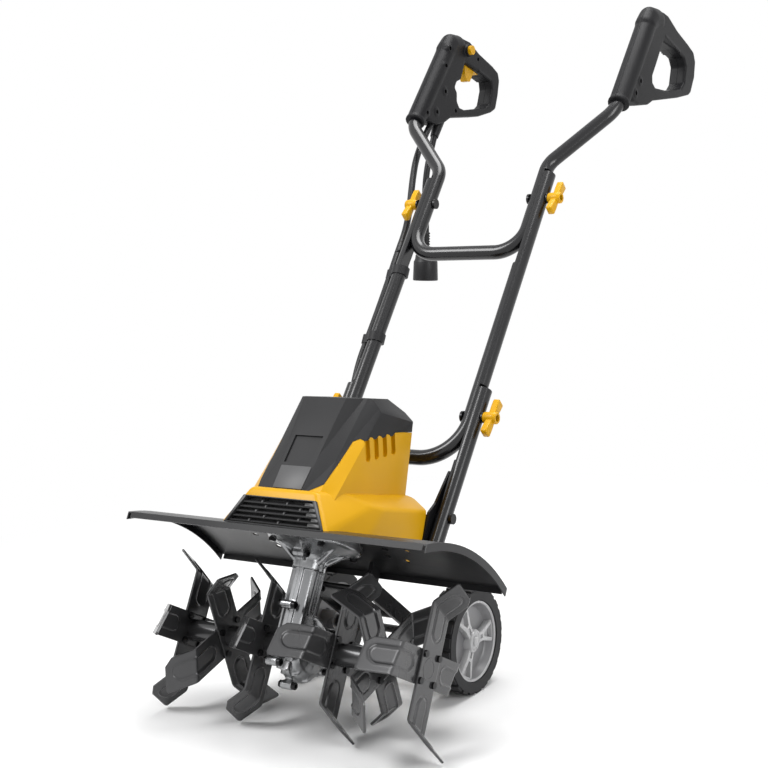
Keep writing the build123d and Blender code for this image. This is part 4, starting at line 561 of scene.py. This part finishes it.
GRILLE = ((69, 112.5), (50, 145), (-50, 145), (-69, 112.5))


def grille_cut():
    """Cutter for the opening that the louvres fill."""
    return extruded([(x, -98.0, z) for x, z in GRILLE], (0, -27.0, 0))


base = base_block()
base = bevelled(base, 4.5, 4, 12.0)
base = carved(base, [arch_block(243.3), grille_cut()])
body = body_block()
body = bevelled(body, 4.0, 4, 8.0)
upper = carved(body.copy(), [cover_prism()])
cover = carved(body, [cover_prism()], "INTERSECT")
bmesh.ops.translate(cover, vec=(0, -0.3, 0.3), verts=cover.verts)
cover = carved(cover, [front_tool([(-19.5, 191), (16.0, 191), (20.0, 226), (-19.0, 226)], 1.6)])


def groove_tool(number):
    """Obround cutter for one shallow groove on a side of the body."""
    y = -49.0 + 15.5 * number
    z = 224.0 + 8.0 * number
    outline = []
    lean = math.radians(-62)
    for i in range(24):
        angle = 2 * math.pi * i / 24
        u = math.copysign(9.0, math.cos(angle)) + 4.6 * math.cos(angle)
        v = 4.6 * math.sin(angle)
        outline.append((y + u * math.cos(lean) - v * math.sin(lean),
                        z + u * math.sin(lean) + v * math.cos(lean)))
    return outline


tools = []
for number in range(4):
    for low, high in ((53.6, 62.0), (-62.0, -53.6)):
        tools.append(prism(groove_tool(number), low, high))
upper = carved(upper, tools)
shroud = merged(base, upper)
shroud_piece = finished("motor_shroud_moulding", shroud, "chassis", YELLOW,
                        ["motor_shroud"], angle=28)
# painted shade: faces low on the housing's foot that face downward get the black plastic instead of the yellow
shroud_piece.data.materials.append(BLACK)
for face in shroud_piece.data.polygons:
    facing = STAND.to_3x3().transposed() @ face.normal * 1000
    if facing.z < -0.3 and (STAND.inverted() @ face.center).z < 135:
        face.material_index = 1
finished("motor_cover_moulding", cover, "chassis", BLACK, ["motor_cover"], angle=28)

# bare lighter plate, low on the cover's flat front
PLATE_CORNERS = ((-19.5, 158.0), (20.5, 158.0), (22.0, 186.5), (-20.0, 186.5))
plate = slab([front_point(x, z, 0.3) for x, z in PLATE_CORNERS], 1.2)
bevelled(plate, 0.5, 2)
finished("front_plate_blank", plate, "chassis", PLATE, ["front_plate"])

# louvred grille


def grille_half(z):
    """Half width of the grille's opening at one height."""
    return 69.0 - (z - 112.5) * 19.0 / 32.5


bars = bmesh.new()
for number in range(5):
    z = 117.6 + 5.6 * number
    half = grille_half(z) - 3.6
    bar = slab([(-half, -109.2, z - 1.9), (half, -109.2, z - 1.9), (half, -103.5, z + 1.6),
                (-half, -103.5, z + 1.6)], -1.8)
    bevelled(bar, 0.4, 2)
    bars = merged(bars, bar)
    for place in ((-0.55, 0.10), (-0.25, 0.55), (-0.50, 0.20), (-0.30, 0.60), (-0.45, 0.25))[number]:
        x = half * place
        block = prism([(-109.6, z - 2.2), (-104.0, z + 1.4), (-104.0, z + 3.6), (-109.6, z + 0.2)],
                      x - 1.0, x + 1.0)
        bars = merged(bars, block)
    x = half * (0.84 if number % 2 else 0.74)
    block = prism([(-109.9, z - 2.0), (-104.0, z + 1.5), (-104.0, z + 4.6), (-109.9, z + 1.6)], x, half)
    bars = merged(bars, bevelled(block, 0.3, 1))
for (x0, z0), (x1, z1) in zip(GRILLE, GRILLE[1:] + GRILLE[:1]):
    mid = Vector((0, 0, 128.5))
    ends = [Vector((x0, 0, z0)), Vector((x1, 0, z1))]
    inner = [e + (mid - e).normalized() * 4.4 for e in ends]
    strip = extruded([(p.x, -110.4, p.z) for p in (ends[0], ends[1], inner[1], inner[0])], (0, 9.0, 0))
    bars = merged(bars, bevelled(strip, 0.6, 2))
back = slab([(x, -100.5, z) for x, z in GRILLE], 1.5)
bars = merged(bars, back)
finished("grille_louvres", bars, "chassis", LOUVRE, ["grille"])

# ---------------------------------------------------------------- knobs


def knob_mesh(face, z, sign):
    """T-wing knob: round hub with a bolt recess and a flat wing with wider ends."""
    y = 133.1 + 0.175 * (z - 494)
    start = face + 2.1
    hub = lathe([(0, 0), (0, 6.4), (0.8, 7.0), (11.0, 7.6), (17.0, 7.4), (18.0, 6.6), (18.0, 4.2), (12.0, 4.0),
                 (12.0, 0)], (sign * start, y, z), (sign, 0, 0), 40)
    outline = [(-25.0, -5.4), (-24.0, -6.6), (-15.0, -6.0), (-6.0, -4.6), (6.0, -4.6), (15.0, -6.0),
               (24.0, -6.6), (25.0, -5.4), (25.0, 5.4), (24.0, 6.6), (15.0, 6.0), (6.0, 4.6), (-6.0, 4.6), (-15.0, 6.0),
               (-24.0, 6.6), (-25.0, 5.4)]
    wing = prism(outline, sign * (start + 5.6), sign * (start + 14.4))
    bevelled(wing, 1.8, 3, 40.0)
    bmesh.ops.rotate(wing, cent=(0, 0, 0), matrix=Matrix.Rotation(math.radians(70), 3, "X"), verts=wing.verts)
    bmesh.ops.translate(wing, vec=(0, y, z), verts=wing.verts)
    recess = lathe([(4, 0), (4, 4.2), (20, 4.2), (20, 0)], (sign * (start + 8), y, z), (sign, 0, 0), 40)
    wing = carved(wing, [recess])
    return merged(hub, wing)


for level_name, face, z in (("lower", 106.9, 320.0), ("upper", 99.7, 647.0)):
    for side_name, sign in (("right", 1), ("left", -1)):
        name = "%s_knob_%s" % (level_name, side_name)
        body_name = "knob_%s_%s" % (level_name, side_name)
        finished(name + "_wing", knob_mesh(face, z, sign), body_name, YELLOW, [name],
                 angle=50)

# ---------------------------------------------------------------- cables


CORD_RADIUS = 4.75
CABLE = [(-160, 228, 826), (-157, 212, 786), (-150, 196, 742), (-140, 186, 705), (-134, 182, 680),
         (-129, 181, 651), (-124, 177, 616), (-115, 158, 572), (-110, 145.5, 520), (-109, 133, 450),
         (-109, 123, 400), (-109, 123.5, 366), (-108, 124, 290), (-103, 116, 245), (-90, 108, 216),
         (-70, 92, 194), (-54, 70, 182), (-48, 44, 176)]


def spline_curve(name, points, radius):
    """Round cord along a NURBS spline with the given control points."""
    curve = bpy.data.curves.new(name, "CURVE")
    curve.dimensions = "3D"
    spline = curve.splines.new("NURBS")
    spline.points.add(len(points) - 1)
    for target, point in zip(spline.points, points):
        target.co = (*point, 1)
    spline.order_u = 3
    spline.use_endpoint_u = True
    spline.resolution_u = 16
    curve.bevel_depth = radius
    curve.bevel_resolution = 6
    curve.use_fill_caps = True
    return linked(name, curve)


def cable_tube():
    """Whole cable in the machine's frame, before it is cut into its runs."""
    made = spline_curve("cable_tube", CABLE, CORD_RADIUS)
    made.data.resolution_u = 8
    out = take_mesh(made)
    bmesh.ops.remove_doubles(out, verts=out.verts, dist=0.001)
    return out


CABLE_TUBE = cable_tube()


def bending_run(name, high, low, node_name):
    """A run of the cable with no parent, across a joint."""
    made = standing_piece(name, cable_part(high, low), CORD)
    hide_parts(node_name)
    return made


def cable_part(high, low):
    """Closed length of the cable between two heights."""
    part = CABLE_TUBE.copy()
    for height, way in ((high, 1), (low, -1)):
        rim = cut_away(part, (0, 0, height), (0, 0, way))
        if rim:
            bmesh.ops.contextual_create(part, geom=rim)
    return part


upper_cable = bending_run("cable_upper_run", 830, 572, "cable_upper")
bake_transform(upper_cable)
finished("cable_middle_run", cable_part(572, 400), "middle_section", CORD, ["cable_middle"])
lower_cable = bending_run("cable_lower_run", 400, 150, "cable_lower")
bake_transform(lower_cable)

# ---------------------------------------------------------------- free cord

ROUTE = [(-161, 243, 806), (-162, 244, 780), (-166, 253, 745), (-169, 270, 710), (-170, 288, 682),
         (-170.5, 293, 672)]


pigtail = spline_curve("pigtail_cord", [at(*p) for p in ROUTE], CORD_RADIUS / 1000)
pigtail.data.materials.append(CORD)
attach(pigtail, "upper_section")
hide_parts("pigtail")

# ---------------------------------------------------------------- grips


GRIP_X = 161
SLEEVE_SLOPE = 0.2444


def sleeve_axis(z):
    """Depth of the grip sleeve's axis at one height."""
    return 184.9 + SLEEVE_SLOPE * (z - 790)


def grip_skin(x, loop, opening, dome, ears, ribs):
    """Handle moulding: sleeve, flat hand loop, domed top, screw ears and ribbed pad."""
    slope = Vector((0, SLEEVE_SLOPE, 1)).normalized()
    start = (x, sleeve_axis(798), 798)
    body = carved(prism(loop, x - 12.5, x + 12.5), [prism(opening, x - 20, x + 20)])
    body = bevelled(body, 2.6, 2, 40.0)
    body = merged(body, lathe([(0, 0), (0, 13.6), (0.8, 14.8), (4.6, 14.8), (6.0, 13.8), (145, 14.4), (152, 0)],
                              start, slope, 40))
    body = merged(body, limb([(x, y, z, wide, radius) for y, z, wide, radius in dome]))
    for y, z in ears:
        body = merged(body, peg(x - 9, x + 13.6, 5.8, y, z))
    for number in range(ribs[4]):
        t = number / (ribs[4] - 1)
        y = ribs[0] + (ribs[2] - ribs[0]) * t
        z = ribs[1] + (ribs[3] - ribs[1]) * t
        body = merged(body, peg(x - 13.4, x + 13.4, 1.9, y, z, 12))
    return fused(body, 1.2, 3)


def grip_piece(name, x, skin, holes, replaced):
    """Bores the screw holes, parts the moulding and sets the screws in it."""
    bores = bmesh.new()
    screws = bmesh.new()
    for y, z, face, radius in holes:
        bores = merged(bores, peg(x + face - 5.0, x + face + 9.0, radius, y, z, 20))
        head = lathe([(0, 0), (0, radius - 0.4), (1.8, radius - 0.4), (2.2, radius - 0.8), (2.2, 1.2),
                      (1.0, 1.0), (1.0, 0)], (x + face - 4.9, y, z), (1, 0, 0), 20)
        screws = merged(screws, head)
    body = carved(skin, [bores], tidy=False)
    body = parted(body, x, 0.22)
    finished(name, body, "upper_section", GRIP, replaced, angle=42)
    return screws


RIGHT_LOOP = [(222, 950), (230, 968), (245, 979), (262, 984), (300, 984), (345, 989), (366, 990), (378, 981),
              (384, 958), (381, 931), (376, 924), (343, 900), (299, 871), (265, 849), (252, 835), (222, 817),
              (206, 813), (191, 816), (196, 850), (212, 905)]
RIGHT_OPENING = [(261, 942), (300, 955), (336, 962), (348, 955), (352, 930), (345, 916), (306, 889), (264, 869),
                 (252, 870), (248, 878), (254, 905)]
LEFT_LOOP = [(222, 948), (230, 965), (244, 975), (262, 981), (293, 980), (337, 985), (357, 985), (366, 975),
             (371, 952), (373, 928), (363, 916), (332, 891), (259, 847), (246, 831), (228, 817), (206, 811),
             (191, 814), (196, 850), (212, 905)]
LEFT_OPENING = [(261, 944), (300, 952), (326, 958), (343, 960), (350, 950), (352, 925), (345, 914), (290, 878),
                (274, 873), (264, 878), (259, 890), (250, 894), (252, 905), (261, 914)]
DOME = [(221, 944, 15, 15), (229, 957, 15, 18.5), (244, 965, 14.5, 18)]
LEFT_DOME = [(221, 942, 15, 15), (229, 954, 15, 18.5), (243, 962, 14.5, 17.5)]
RIGHT_EARS = [(213, 848.7), (206, 826)]
LEFT_EARS = [(212, 938.1), (212, 908), (226, 872.3), (194, 817.6), (217.1, 832.2)]

right_skin = grip_skin(GRIP_X, RIGHT_LOOP, RIGHT_OPENING, DOME, RIGHT_EARS, (266, 952, 318, 960, 11))
right_holes = [(213, 848.7, 12.6, 3.2), (206, 826, 12.6, 3.2)]
right_screws = grip_piece("grip_right_moulding", GRIP_X, right_skin, right_holes,
                                      ["grip_right_outer", "grip_right_inner"])
left_skin = grip_skin(-GRIP_X, LEFT_LOOP, LEFT_OPENING, LEFT_DOME, LEFT_EARS, (304, 954, 338, 960, 8))
left_skin = fused(merged(left_skin, peg(-GRIP_X, -143.6, 9.2, 258, 963, 32)), 1.2, 1)
left_holes = [(212, 938.1, 12.6, 3.0), (212, 908, 12.6, 3.0), (226, 872.3, 12.6, 3.2), (194, 817.6, 12.6, 3.0),
              (217.1, 832.2, 12.6, 3.0), (292.3, 969.2, 12.0, 3.0), (264.9, 862, 12.0, 3.0)]
left_screws = grip_piece("grip_left_moulding", -GRIP_X, left_skin, left_holes,
                                    ["grip_left_outer", "grip_left_inner"])
finished("grip_screws", merged(right_screws, left_screws), "upper_section", SCREW,
         ["grip_fasteners"])

# ---------------------------------------------------------------- gearbox

CASE_SCREWS = [(-49, 99), (-48.6, 39.9), (-50, -24.5), (-13, -44), (40, -18), (-5, 70), (36, 26)]


def gearbox_skin():
    """Cast leg between the bell under the shield and the bulge round the tine shaft."""
    leg = prism([(-42, -20), (-42, 110), (-10, 110), (-10, 20)], -5, 5)
    body = prism([(-36, -20), (-36, 108), (-13, 108), (-13, 24)], -15, 15)
    front = limb([(0, -33, -8, 13.5, 7), (0, -33, 100, 13.5, 7)])
    pocket = [(-29, 36), (-29, 90), (-14.5, 90), (-14.5, 36)]
    pockets = [prism(pocket, low, high) for low, high in ((12, 20), (-20, -12))]
    body = carved(body, pockets)
    whole = merged(leg, body, front)
    for y in (-25.6, -21.6, -17.6):
        for low, high in ((8, 15.4), (-15.4, -8)):
            rib = prism([(y - 0.9, 34), (y - 0.9, 92), (y + 0.9, 92), (y + 0.9, 34)], low, high)
            whole = merged(whole, rib)
    bulge = [(-20, 0), (-20, 15), (-17.5, 17), (-15.5, 27), (-11, 33), (-5, 35.5), (-5, 39), (5, 39), (5, 35.5),
             (11, 33), (15.5, 27), (17.5, 17), (20, 15), (20, 0)]
    whole = merged(whole, lathe(bulge, (0, 0, 0), (1, 0, 0), 72))
    for turn in (-150, -115, -80, -45, 0, 45):
        direction = Vector((0, math.cos(math.radians(turn)), math.sin(math.radians(turn))))
        for sign in (1, -1):
            near = direction * 16
            far = direction * 36
            rib = limb([(sign * 15.5, near.y, near.z, 3.4, 1.3), (sign * 6.5, far.y, far.z, 5.5, 1.3)])
            whole = merged(whole, rib)
    bell = [(84, 0), (84, 18.5), (96, 19.0), (100, 21.5), (104.5, 30), (108.5, 43), (111.5, 52), (113.5, 55),
            (126, 55), (126, 0)]
    bell_solid = lathe([(z - 84, r) for z, r in bell], (0, -26, 84), (0, 0, 1), 72)
    whole = merged(whole, carved(bell_solid, [arch_block(241.2)], "INTERSECT"))
    for turn in (20, 75, 130, 230, 285, 340):
        c = math.cos(math.radians(turn))
        d = math.sin(math.radians(turn))
        rib = limb([(17 * c, -26 + 17 * d, 92, 2.0, 2.6), (44 * c, -26 + 44 * d, 111.5, 2.0, 2.6)])
        whole = merged(whole, rib)
    for y, z in CASE_SCREWS:
        whole = merged(whole, peg(-7.5, 7.5, 5.0, y, z))
        inward = (-28, z) if z > 30 and y < 0 else (y * 0.7, z * 0.7)
        whole = merged(whole, limb([(0, y, z, 5.0, 4.6), (0, inward[0], inward[1], 5.0, 4.6)]))
    return fused(whole, 1.0, 2)


casting = carved(gearbox_skin(), [peg(-30, 30, 13.3, 0, 0, 48)], tidy=False)
finished("gearbox_casting", parted(casting, 0, 0.15), "chassis", ALLOY,
         ["gearbox_right", "gearbox_left"], angle=45)

heads = bmesh.new()
for y, z in CASE_SCREWS:
    cap = [(0, 0), (0, 3.9), (0.5, 4.3), (4.2, 4.3), (4.7, 3.9), (4.7, 2.3), (2.2, 2.1), (2.2, 0)]
    heads = merged(heads, lathe(cap, (7.0, y, z), (1, 0, 0), 28))
    heads = merged(heads, lathe([(0, 0), (0, 4.4), (3.6, 4.2), (3.6, 0)], (-7.0, y, z), (-1, 0, 0), 6))
for x in (34, -34):
    for y in (-60, 8):
        bolt = lathe([(0, 0), (0, 3.4), (0.8, 4.2), (5.0, 4.2), (5.0, 2.5), (14.0, 2.5), (14.0, 0)],
                     (x, y, 106.0), (0, 0, 1), 6)
        heads = merged(heads, bolt)
finished("gearbox_screw_heads", heads, "chassis", SCREW, ["gearbox_screws"])

# ---------------------------------------------------------------- tine hubs

hubs = bmesh.new()
for sign in (1, -1):
    tube = [(22, 8.1), (22, 12.4), (22.8, 13.0), (167.6, 13.0), (168.3, 12.4), (168.3, 9.4), (167.6, 8.8),
            (160.0, 8.8), (159.9, 8.1), (22, 8.1)]
    ring = lathe([(x - 22, r) for x, r in tube], (sign * 22, 0, 0), (sign, 0, 0), 48)
    hubs = merged(hubs, ring)
finished("tine_hub_tubes", hubs, "tine_rotor", TINE, ["tine_hubs"], angle=35)

# ---------------------------------------------------------------- wheel rims


WHEEL_Y = 176.2
WHEEL_Z = 61.9


def rim_mesh(sign):
    """Moulded rim: bright lip, sunk dish, three forked spokes and an oval hub cap."""
    centre = Vector((0, WHEEL_Y, WHEEL_Z))
    profile = [(84.5, 46), (84.5, 49), (117.2, 49), (118.5, 48.2), (118.5, 46.4), (117.4, 45.4), (110.5, 43.0),
               (108.0, 40.5), (108.0, 12), (84.5, 12), (84.5, 5.1), (113, 5.1), (113, 9), (104, 14), (104, 42),
               (90, 46)]
    bm = bmesh.new()
    ring = [bm.verts.new((x, WHEEL_Y + r, WHEEL_Z)) for x, r in profile]
    edges = [bm.edges.new((ring[i], ring[(i + 1) % len(ring)])) for i in range(len(ring))]
    bmesh.ops.spin(bm, geom=ring + edges, cent=centre, axis=(1, 0, 0), dvec=(0, 0, 0), angle=2 * math.pi,
                   steps=96, use_merge=True)
    bmesh.ops.recalc_face_normals(bm, faces=bm.faces)
    dish_faces = len(bm.faces)
    for number in range(3):
        turn = Matrix.Rotation(math.radians(-90 + 120 * number), 3, "X")
        arm = prism([(8, -6), (22, -6.5), (45.5, -14.5), (45.5, 14.5), (22, 6.5), (8, 6)], 107.5, 116.0)
        bevelled(arm, 1.0, 2)
        arm = carved(arm, [prism([(25, -2.2), (43, -9.0), (43, 9.0), (25, 2.2)], 110.0, 120.0),
                           prism([(11, -1.8), (21, -2.6), (21, 2.6), (11, 1.8)], 114.2, 120.0)])
        bmesh.ops.rotate(arm, cent=(0, 0, 0), matrix=turn, verts=arm.verts)
        bmesh.ops.translate(arm, vec=centre, verts=arm.verts)
        bm = merged(bm, arm)
    cap = lathe([(107, 0), (107, 13.0), (116.5, 12.6), (118.0, 11.6), (118.6, 9.8), (117.6, 9.0), (117.4, 6.0),
                 (119.6, 5.0), (120.4, 3.0), (120.6, 0)], centre, (1, 0, 0), 48)
    bmesh.ops.scale(cap, vec=(1, 0.86, 1.12), space=Matrix.Translation(-centre), verts=cap.verts)
    bm = merged(bm, cap)
    bm.faces.ensure_lookup_table()
    for number, face in enumerate(bm.faces):
        middle = face.calc_center_median()
        lip = math.hypot(middle.y - WHEEL_Y, middle.z - WHEEL_Z) > 45.0 and middle.x > 116.5
        if number >= dish_faces or lip:
            face.material_index = 1
    if sign < 0:
        bmesh.ops.scale(bm, vec=(-1, 1, 1), verts=bm.verts)
    return bm


for side_name, sign in (("right", 1), ("left", -1)):
    rim = finished("rim_%s_moulding" % side_name, rim_mesh(sign), "wheel_" + side_name, RIM,
                   ["rim_" + side_name], angle=32)
    rim.data.materials.append(SPOKE)

# ---------------------------------------------------------------- plug body


tail = Vector(ROUTE[-1])
profile = [(0, 0), (0, 5.6)]
for number in range(6):
    step = 0.6 + 4.0 * number
    profile += [(step, 6.3), (step + 1.9, 6.3), (step + 2.3, 5.1), (step + 3.7, 5.1)]
profile += [(25.0, 7.6), (31.0, 13.2), (34.0, 15.2), (40.0, 16.0), (43.0, 17.6), (44.0, 18.0), (71.2, 18.9),
            (72.0, 18.3), (72.0, 16.6), (71.4, 16.0), (44.0, 16.0), (44.0, 0)]
moulded_plug = lathe(profile, tail, tail - Vector(ROUTE[-2]), 48)
plug_piece = finished("plug_moulding", moulded_plug, "upper_section", CORD, ["plug"], angle=40)

# ---------------------------------------------------------------- carried pieces

FINISHES = {
    "tine_rivets": (SCREW, 0.5), "tine_shaft": (STEEL, 0.4), "worm_wheel": (BRONZE, 0),
    "motor_shaft": (STEEL, 0),
    "gearbox_bearings": (STEEL, 0.3), "shield": (SHIELD, 0.6),
    "lower_end_frame": (ALLOY, 0.6), "stator": (DARK, 0.6), "upper_end_frame": (ALLOY, 0.6),
    "brush_holders": (BLACK, 0.4), "armature": (STEEL, 0), "cooling_fan": (BLACK, 0.3),
    "tyre_right": (TYRE, 0.8), "tyre_left": (TYRE, 0.8),
    "wheel_axle": (DARK, 0.5), "wheel_bracket": (DARK, 1.0), "pivot_pin": (DARK, 0.6),
    "middle_handle": (TUBE, 0.2), "upper_handle": (TUBE, 0.2), "strut_right": (TUBE, 0.6),
    "strut_left": (TUBE, 0.6),
    "strut_brackets": (DARK, 0.6), "strut_fasteners": (SCREW, 0.5), "upper_knob_bolts": (SCREW, 0.5),
    "trigger": (YELLOW, 1.0),
    "lock_button": (YELLOW, 1.0), "switch_block": (BLACK, 0.4), "cord_relief": (CORD, 0.6),
    "plug_pins": (STEEL, 0.3), "cable_clips": (BLACK, 0.5),
}
for name, (material, width) in FINISHES.items():
    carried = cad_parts[name]
    carried.data.materials.clear()
    carried.data.materials.append(material)
    for face in carried.data.polygons:
        face.use_smooth = True
        face.material_index = 0
    carried.data.set_sharp_from_angle(angle=math.radians(30))
    if width:
        rounding = carried.modifiers.new("rounded_edges", "BEVEL")
        rounding.width = width / 1000
        rounding.segments = 3
        rounding.limit_method = "ANGLE"
        rounding.angle_limit = math.radians(32)
        rounding.harden_normals = False

# ---------------------------------------------------------------- studio

floor_material, tree, principled = shader("pale_floor", (0.90, 0.90, 0.90), 0.8, specular=0.2)
grain = noise(tree, 60.0, 2.0)
vary(tree, grain.outputs["Fac"], principled.inputs["Roughness"], 0.75, 0.85)
coords = node(tree, "ShaderNodeTexCoord")
far = node(tree, "ShaderNodeVectorMath", operation="LENGTH")
tree.links.new(coords.outputs["Object"], far.inputs[0])
fade = node(tree, "ShaderNodeMapRange", interpolation_type="SMOOTHSTEP")
fade.inputs["From Min"].default_value = 0.35
fade.inputs["From Max"].default_value = 1.1
tree.links.new(far.outputs["Value"], fade.inputs["Value"])
glow = node(tree, "ShaderNodeEmission", Strength=1.0)
blend_white = node(tree, "ShaderNodeMixShader")
tree.links.new(fade.outputs["Result"], blend_white.inputs["Fac"])
tree.links.new(principled.outputs["BSDF"], blend_white.inputs[1])
tree.links.new(glow.outputs["Emission"], blend_white.inputs[2])
tree.links.new(blend_white.outputs["Shader"], tree.nodes["Material Output"].inputs["Surface"])
sheet = bmesh.new()
bmesh.ops.create_grid(sheet, x_segments=2, y_segments=2, size=14.0)
floor = as_object(sheet, "studio_floor")
floor.location = (0, 0, -0.0003)
floor.data.materials.append(floor_material)


def lamp(name, place, target, size, power):
    data = bpy.data.lights.new(name, "AREA")
    data.shape = "RECTANGLE"
    data.size = size[0]
    data.size_y = size[1]
    data.energy = power
    made = linked(name, data)
    made.location = place
    made.rotation_euler = (Vector(target) - Vector(place)).to_track_quat("-Z", "Y").to_euler()
    return made


lamps = [
    lamp("key_softbox", (-1.4, -1.9, 2.6), (0, 0, 0.3), (1.4, 1.4), 75),
    lamp("side_softbox", (2.4, -0.9, 1.2), (0, 0, 0.35), (0.9, 1.8), 30),
    lamp("top_softbox", (0.2, 0.4, 2.8), (0, 0, 0.2), (2.0, 1.4), 70),
]

world = bpy.data.worlds.new("studio_white")
bpy.context.scene.world = world
world.use_nodes = True
tree = world.node_tree
tree.nodes.clear()
out = node(tree, "ShaderNodeOutputWorld")
soft = node(tree, "ShaderNodeBackground")
soft.inputs["Color"].default_value = (1, 1, 1, 1)
soft.inputs["Strength"].default_value = 0.30
white = node(tree, "ShaderNodeBackground")
white.inputs["Color"].default_value = (1, 1, 1, 1)
white.inputs["Strength"].default_value = 1.0
path = node(tree, "ShaderNodeLightPath")
mix = node(tree, "ShaderNodeMixShader")
seen = path.outputs["Is Camera Ray"]
for ray in ("Is Glossy Ray", "Is Transmission Ray"):
    total = node(tree, "ShaderNodeMath", operation="ADD", use_clamp=True)
    tree.links.new(seen, total.inputs[0])
    tree.links.new(path.outputs[ray], total.inputs[1])
    seen = total.outputs["Value"]
tree.links.new(seen, mix.inputs["Fac"])
tree.links.new(soft.outputs["Background"], mix.inputs[1])
tree.links.new(white.outputs["Background"], mix.inputs[2])
tree.links.new(mix.outputs["Shader"], out.inputs["Surface"])

scene = bpy.context.scene
scene.view_settings.view_transform = "Standard"

# ---------------------------------------------------------------- camera

# the camera's place and axes, in the machine's frame
CAMERA_PLACE = (935.13, -1293.12, -144.60)
CAMERA_RIGHT = (0.83321, 0.50709, 0.22049)
CAMERA_UP = (-0.02951, -0.35740, 0.93348)
CAMERA_FORWARD = (-0.55211, 0.78433, 0.28284)
turn = STAND.to_3x3() * 1000
right, up, forward = ((turn @ Vector(axis)).normalized() for axis in (CAMERA_RIGHT, CAMERA_UP, CAMERA_FORWARD))
camera_data = bpy.data.cameras.new("camera")
camera_data.lens = 65.0
camera_data.sensor_width = 36.0
camera_data.clip_start = 0.05
camera = linked("camera", camera_data)
placement = Matrix((right, up, -forward)).transposed().to_4x4()
placement.translation = at(*CAMERA_PLACE)
camera.matrix_world = placement
scene.camera = camera
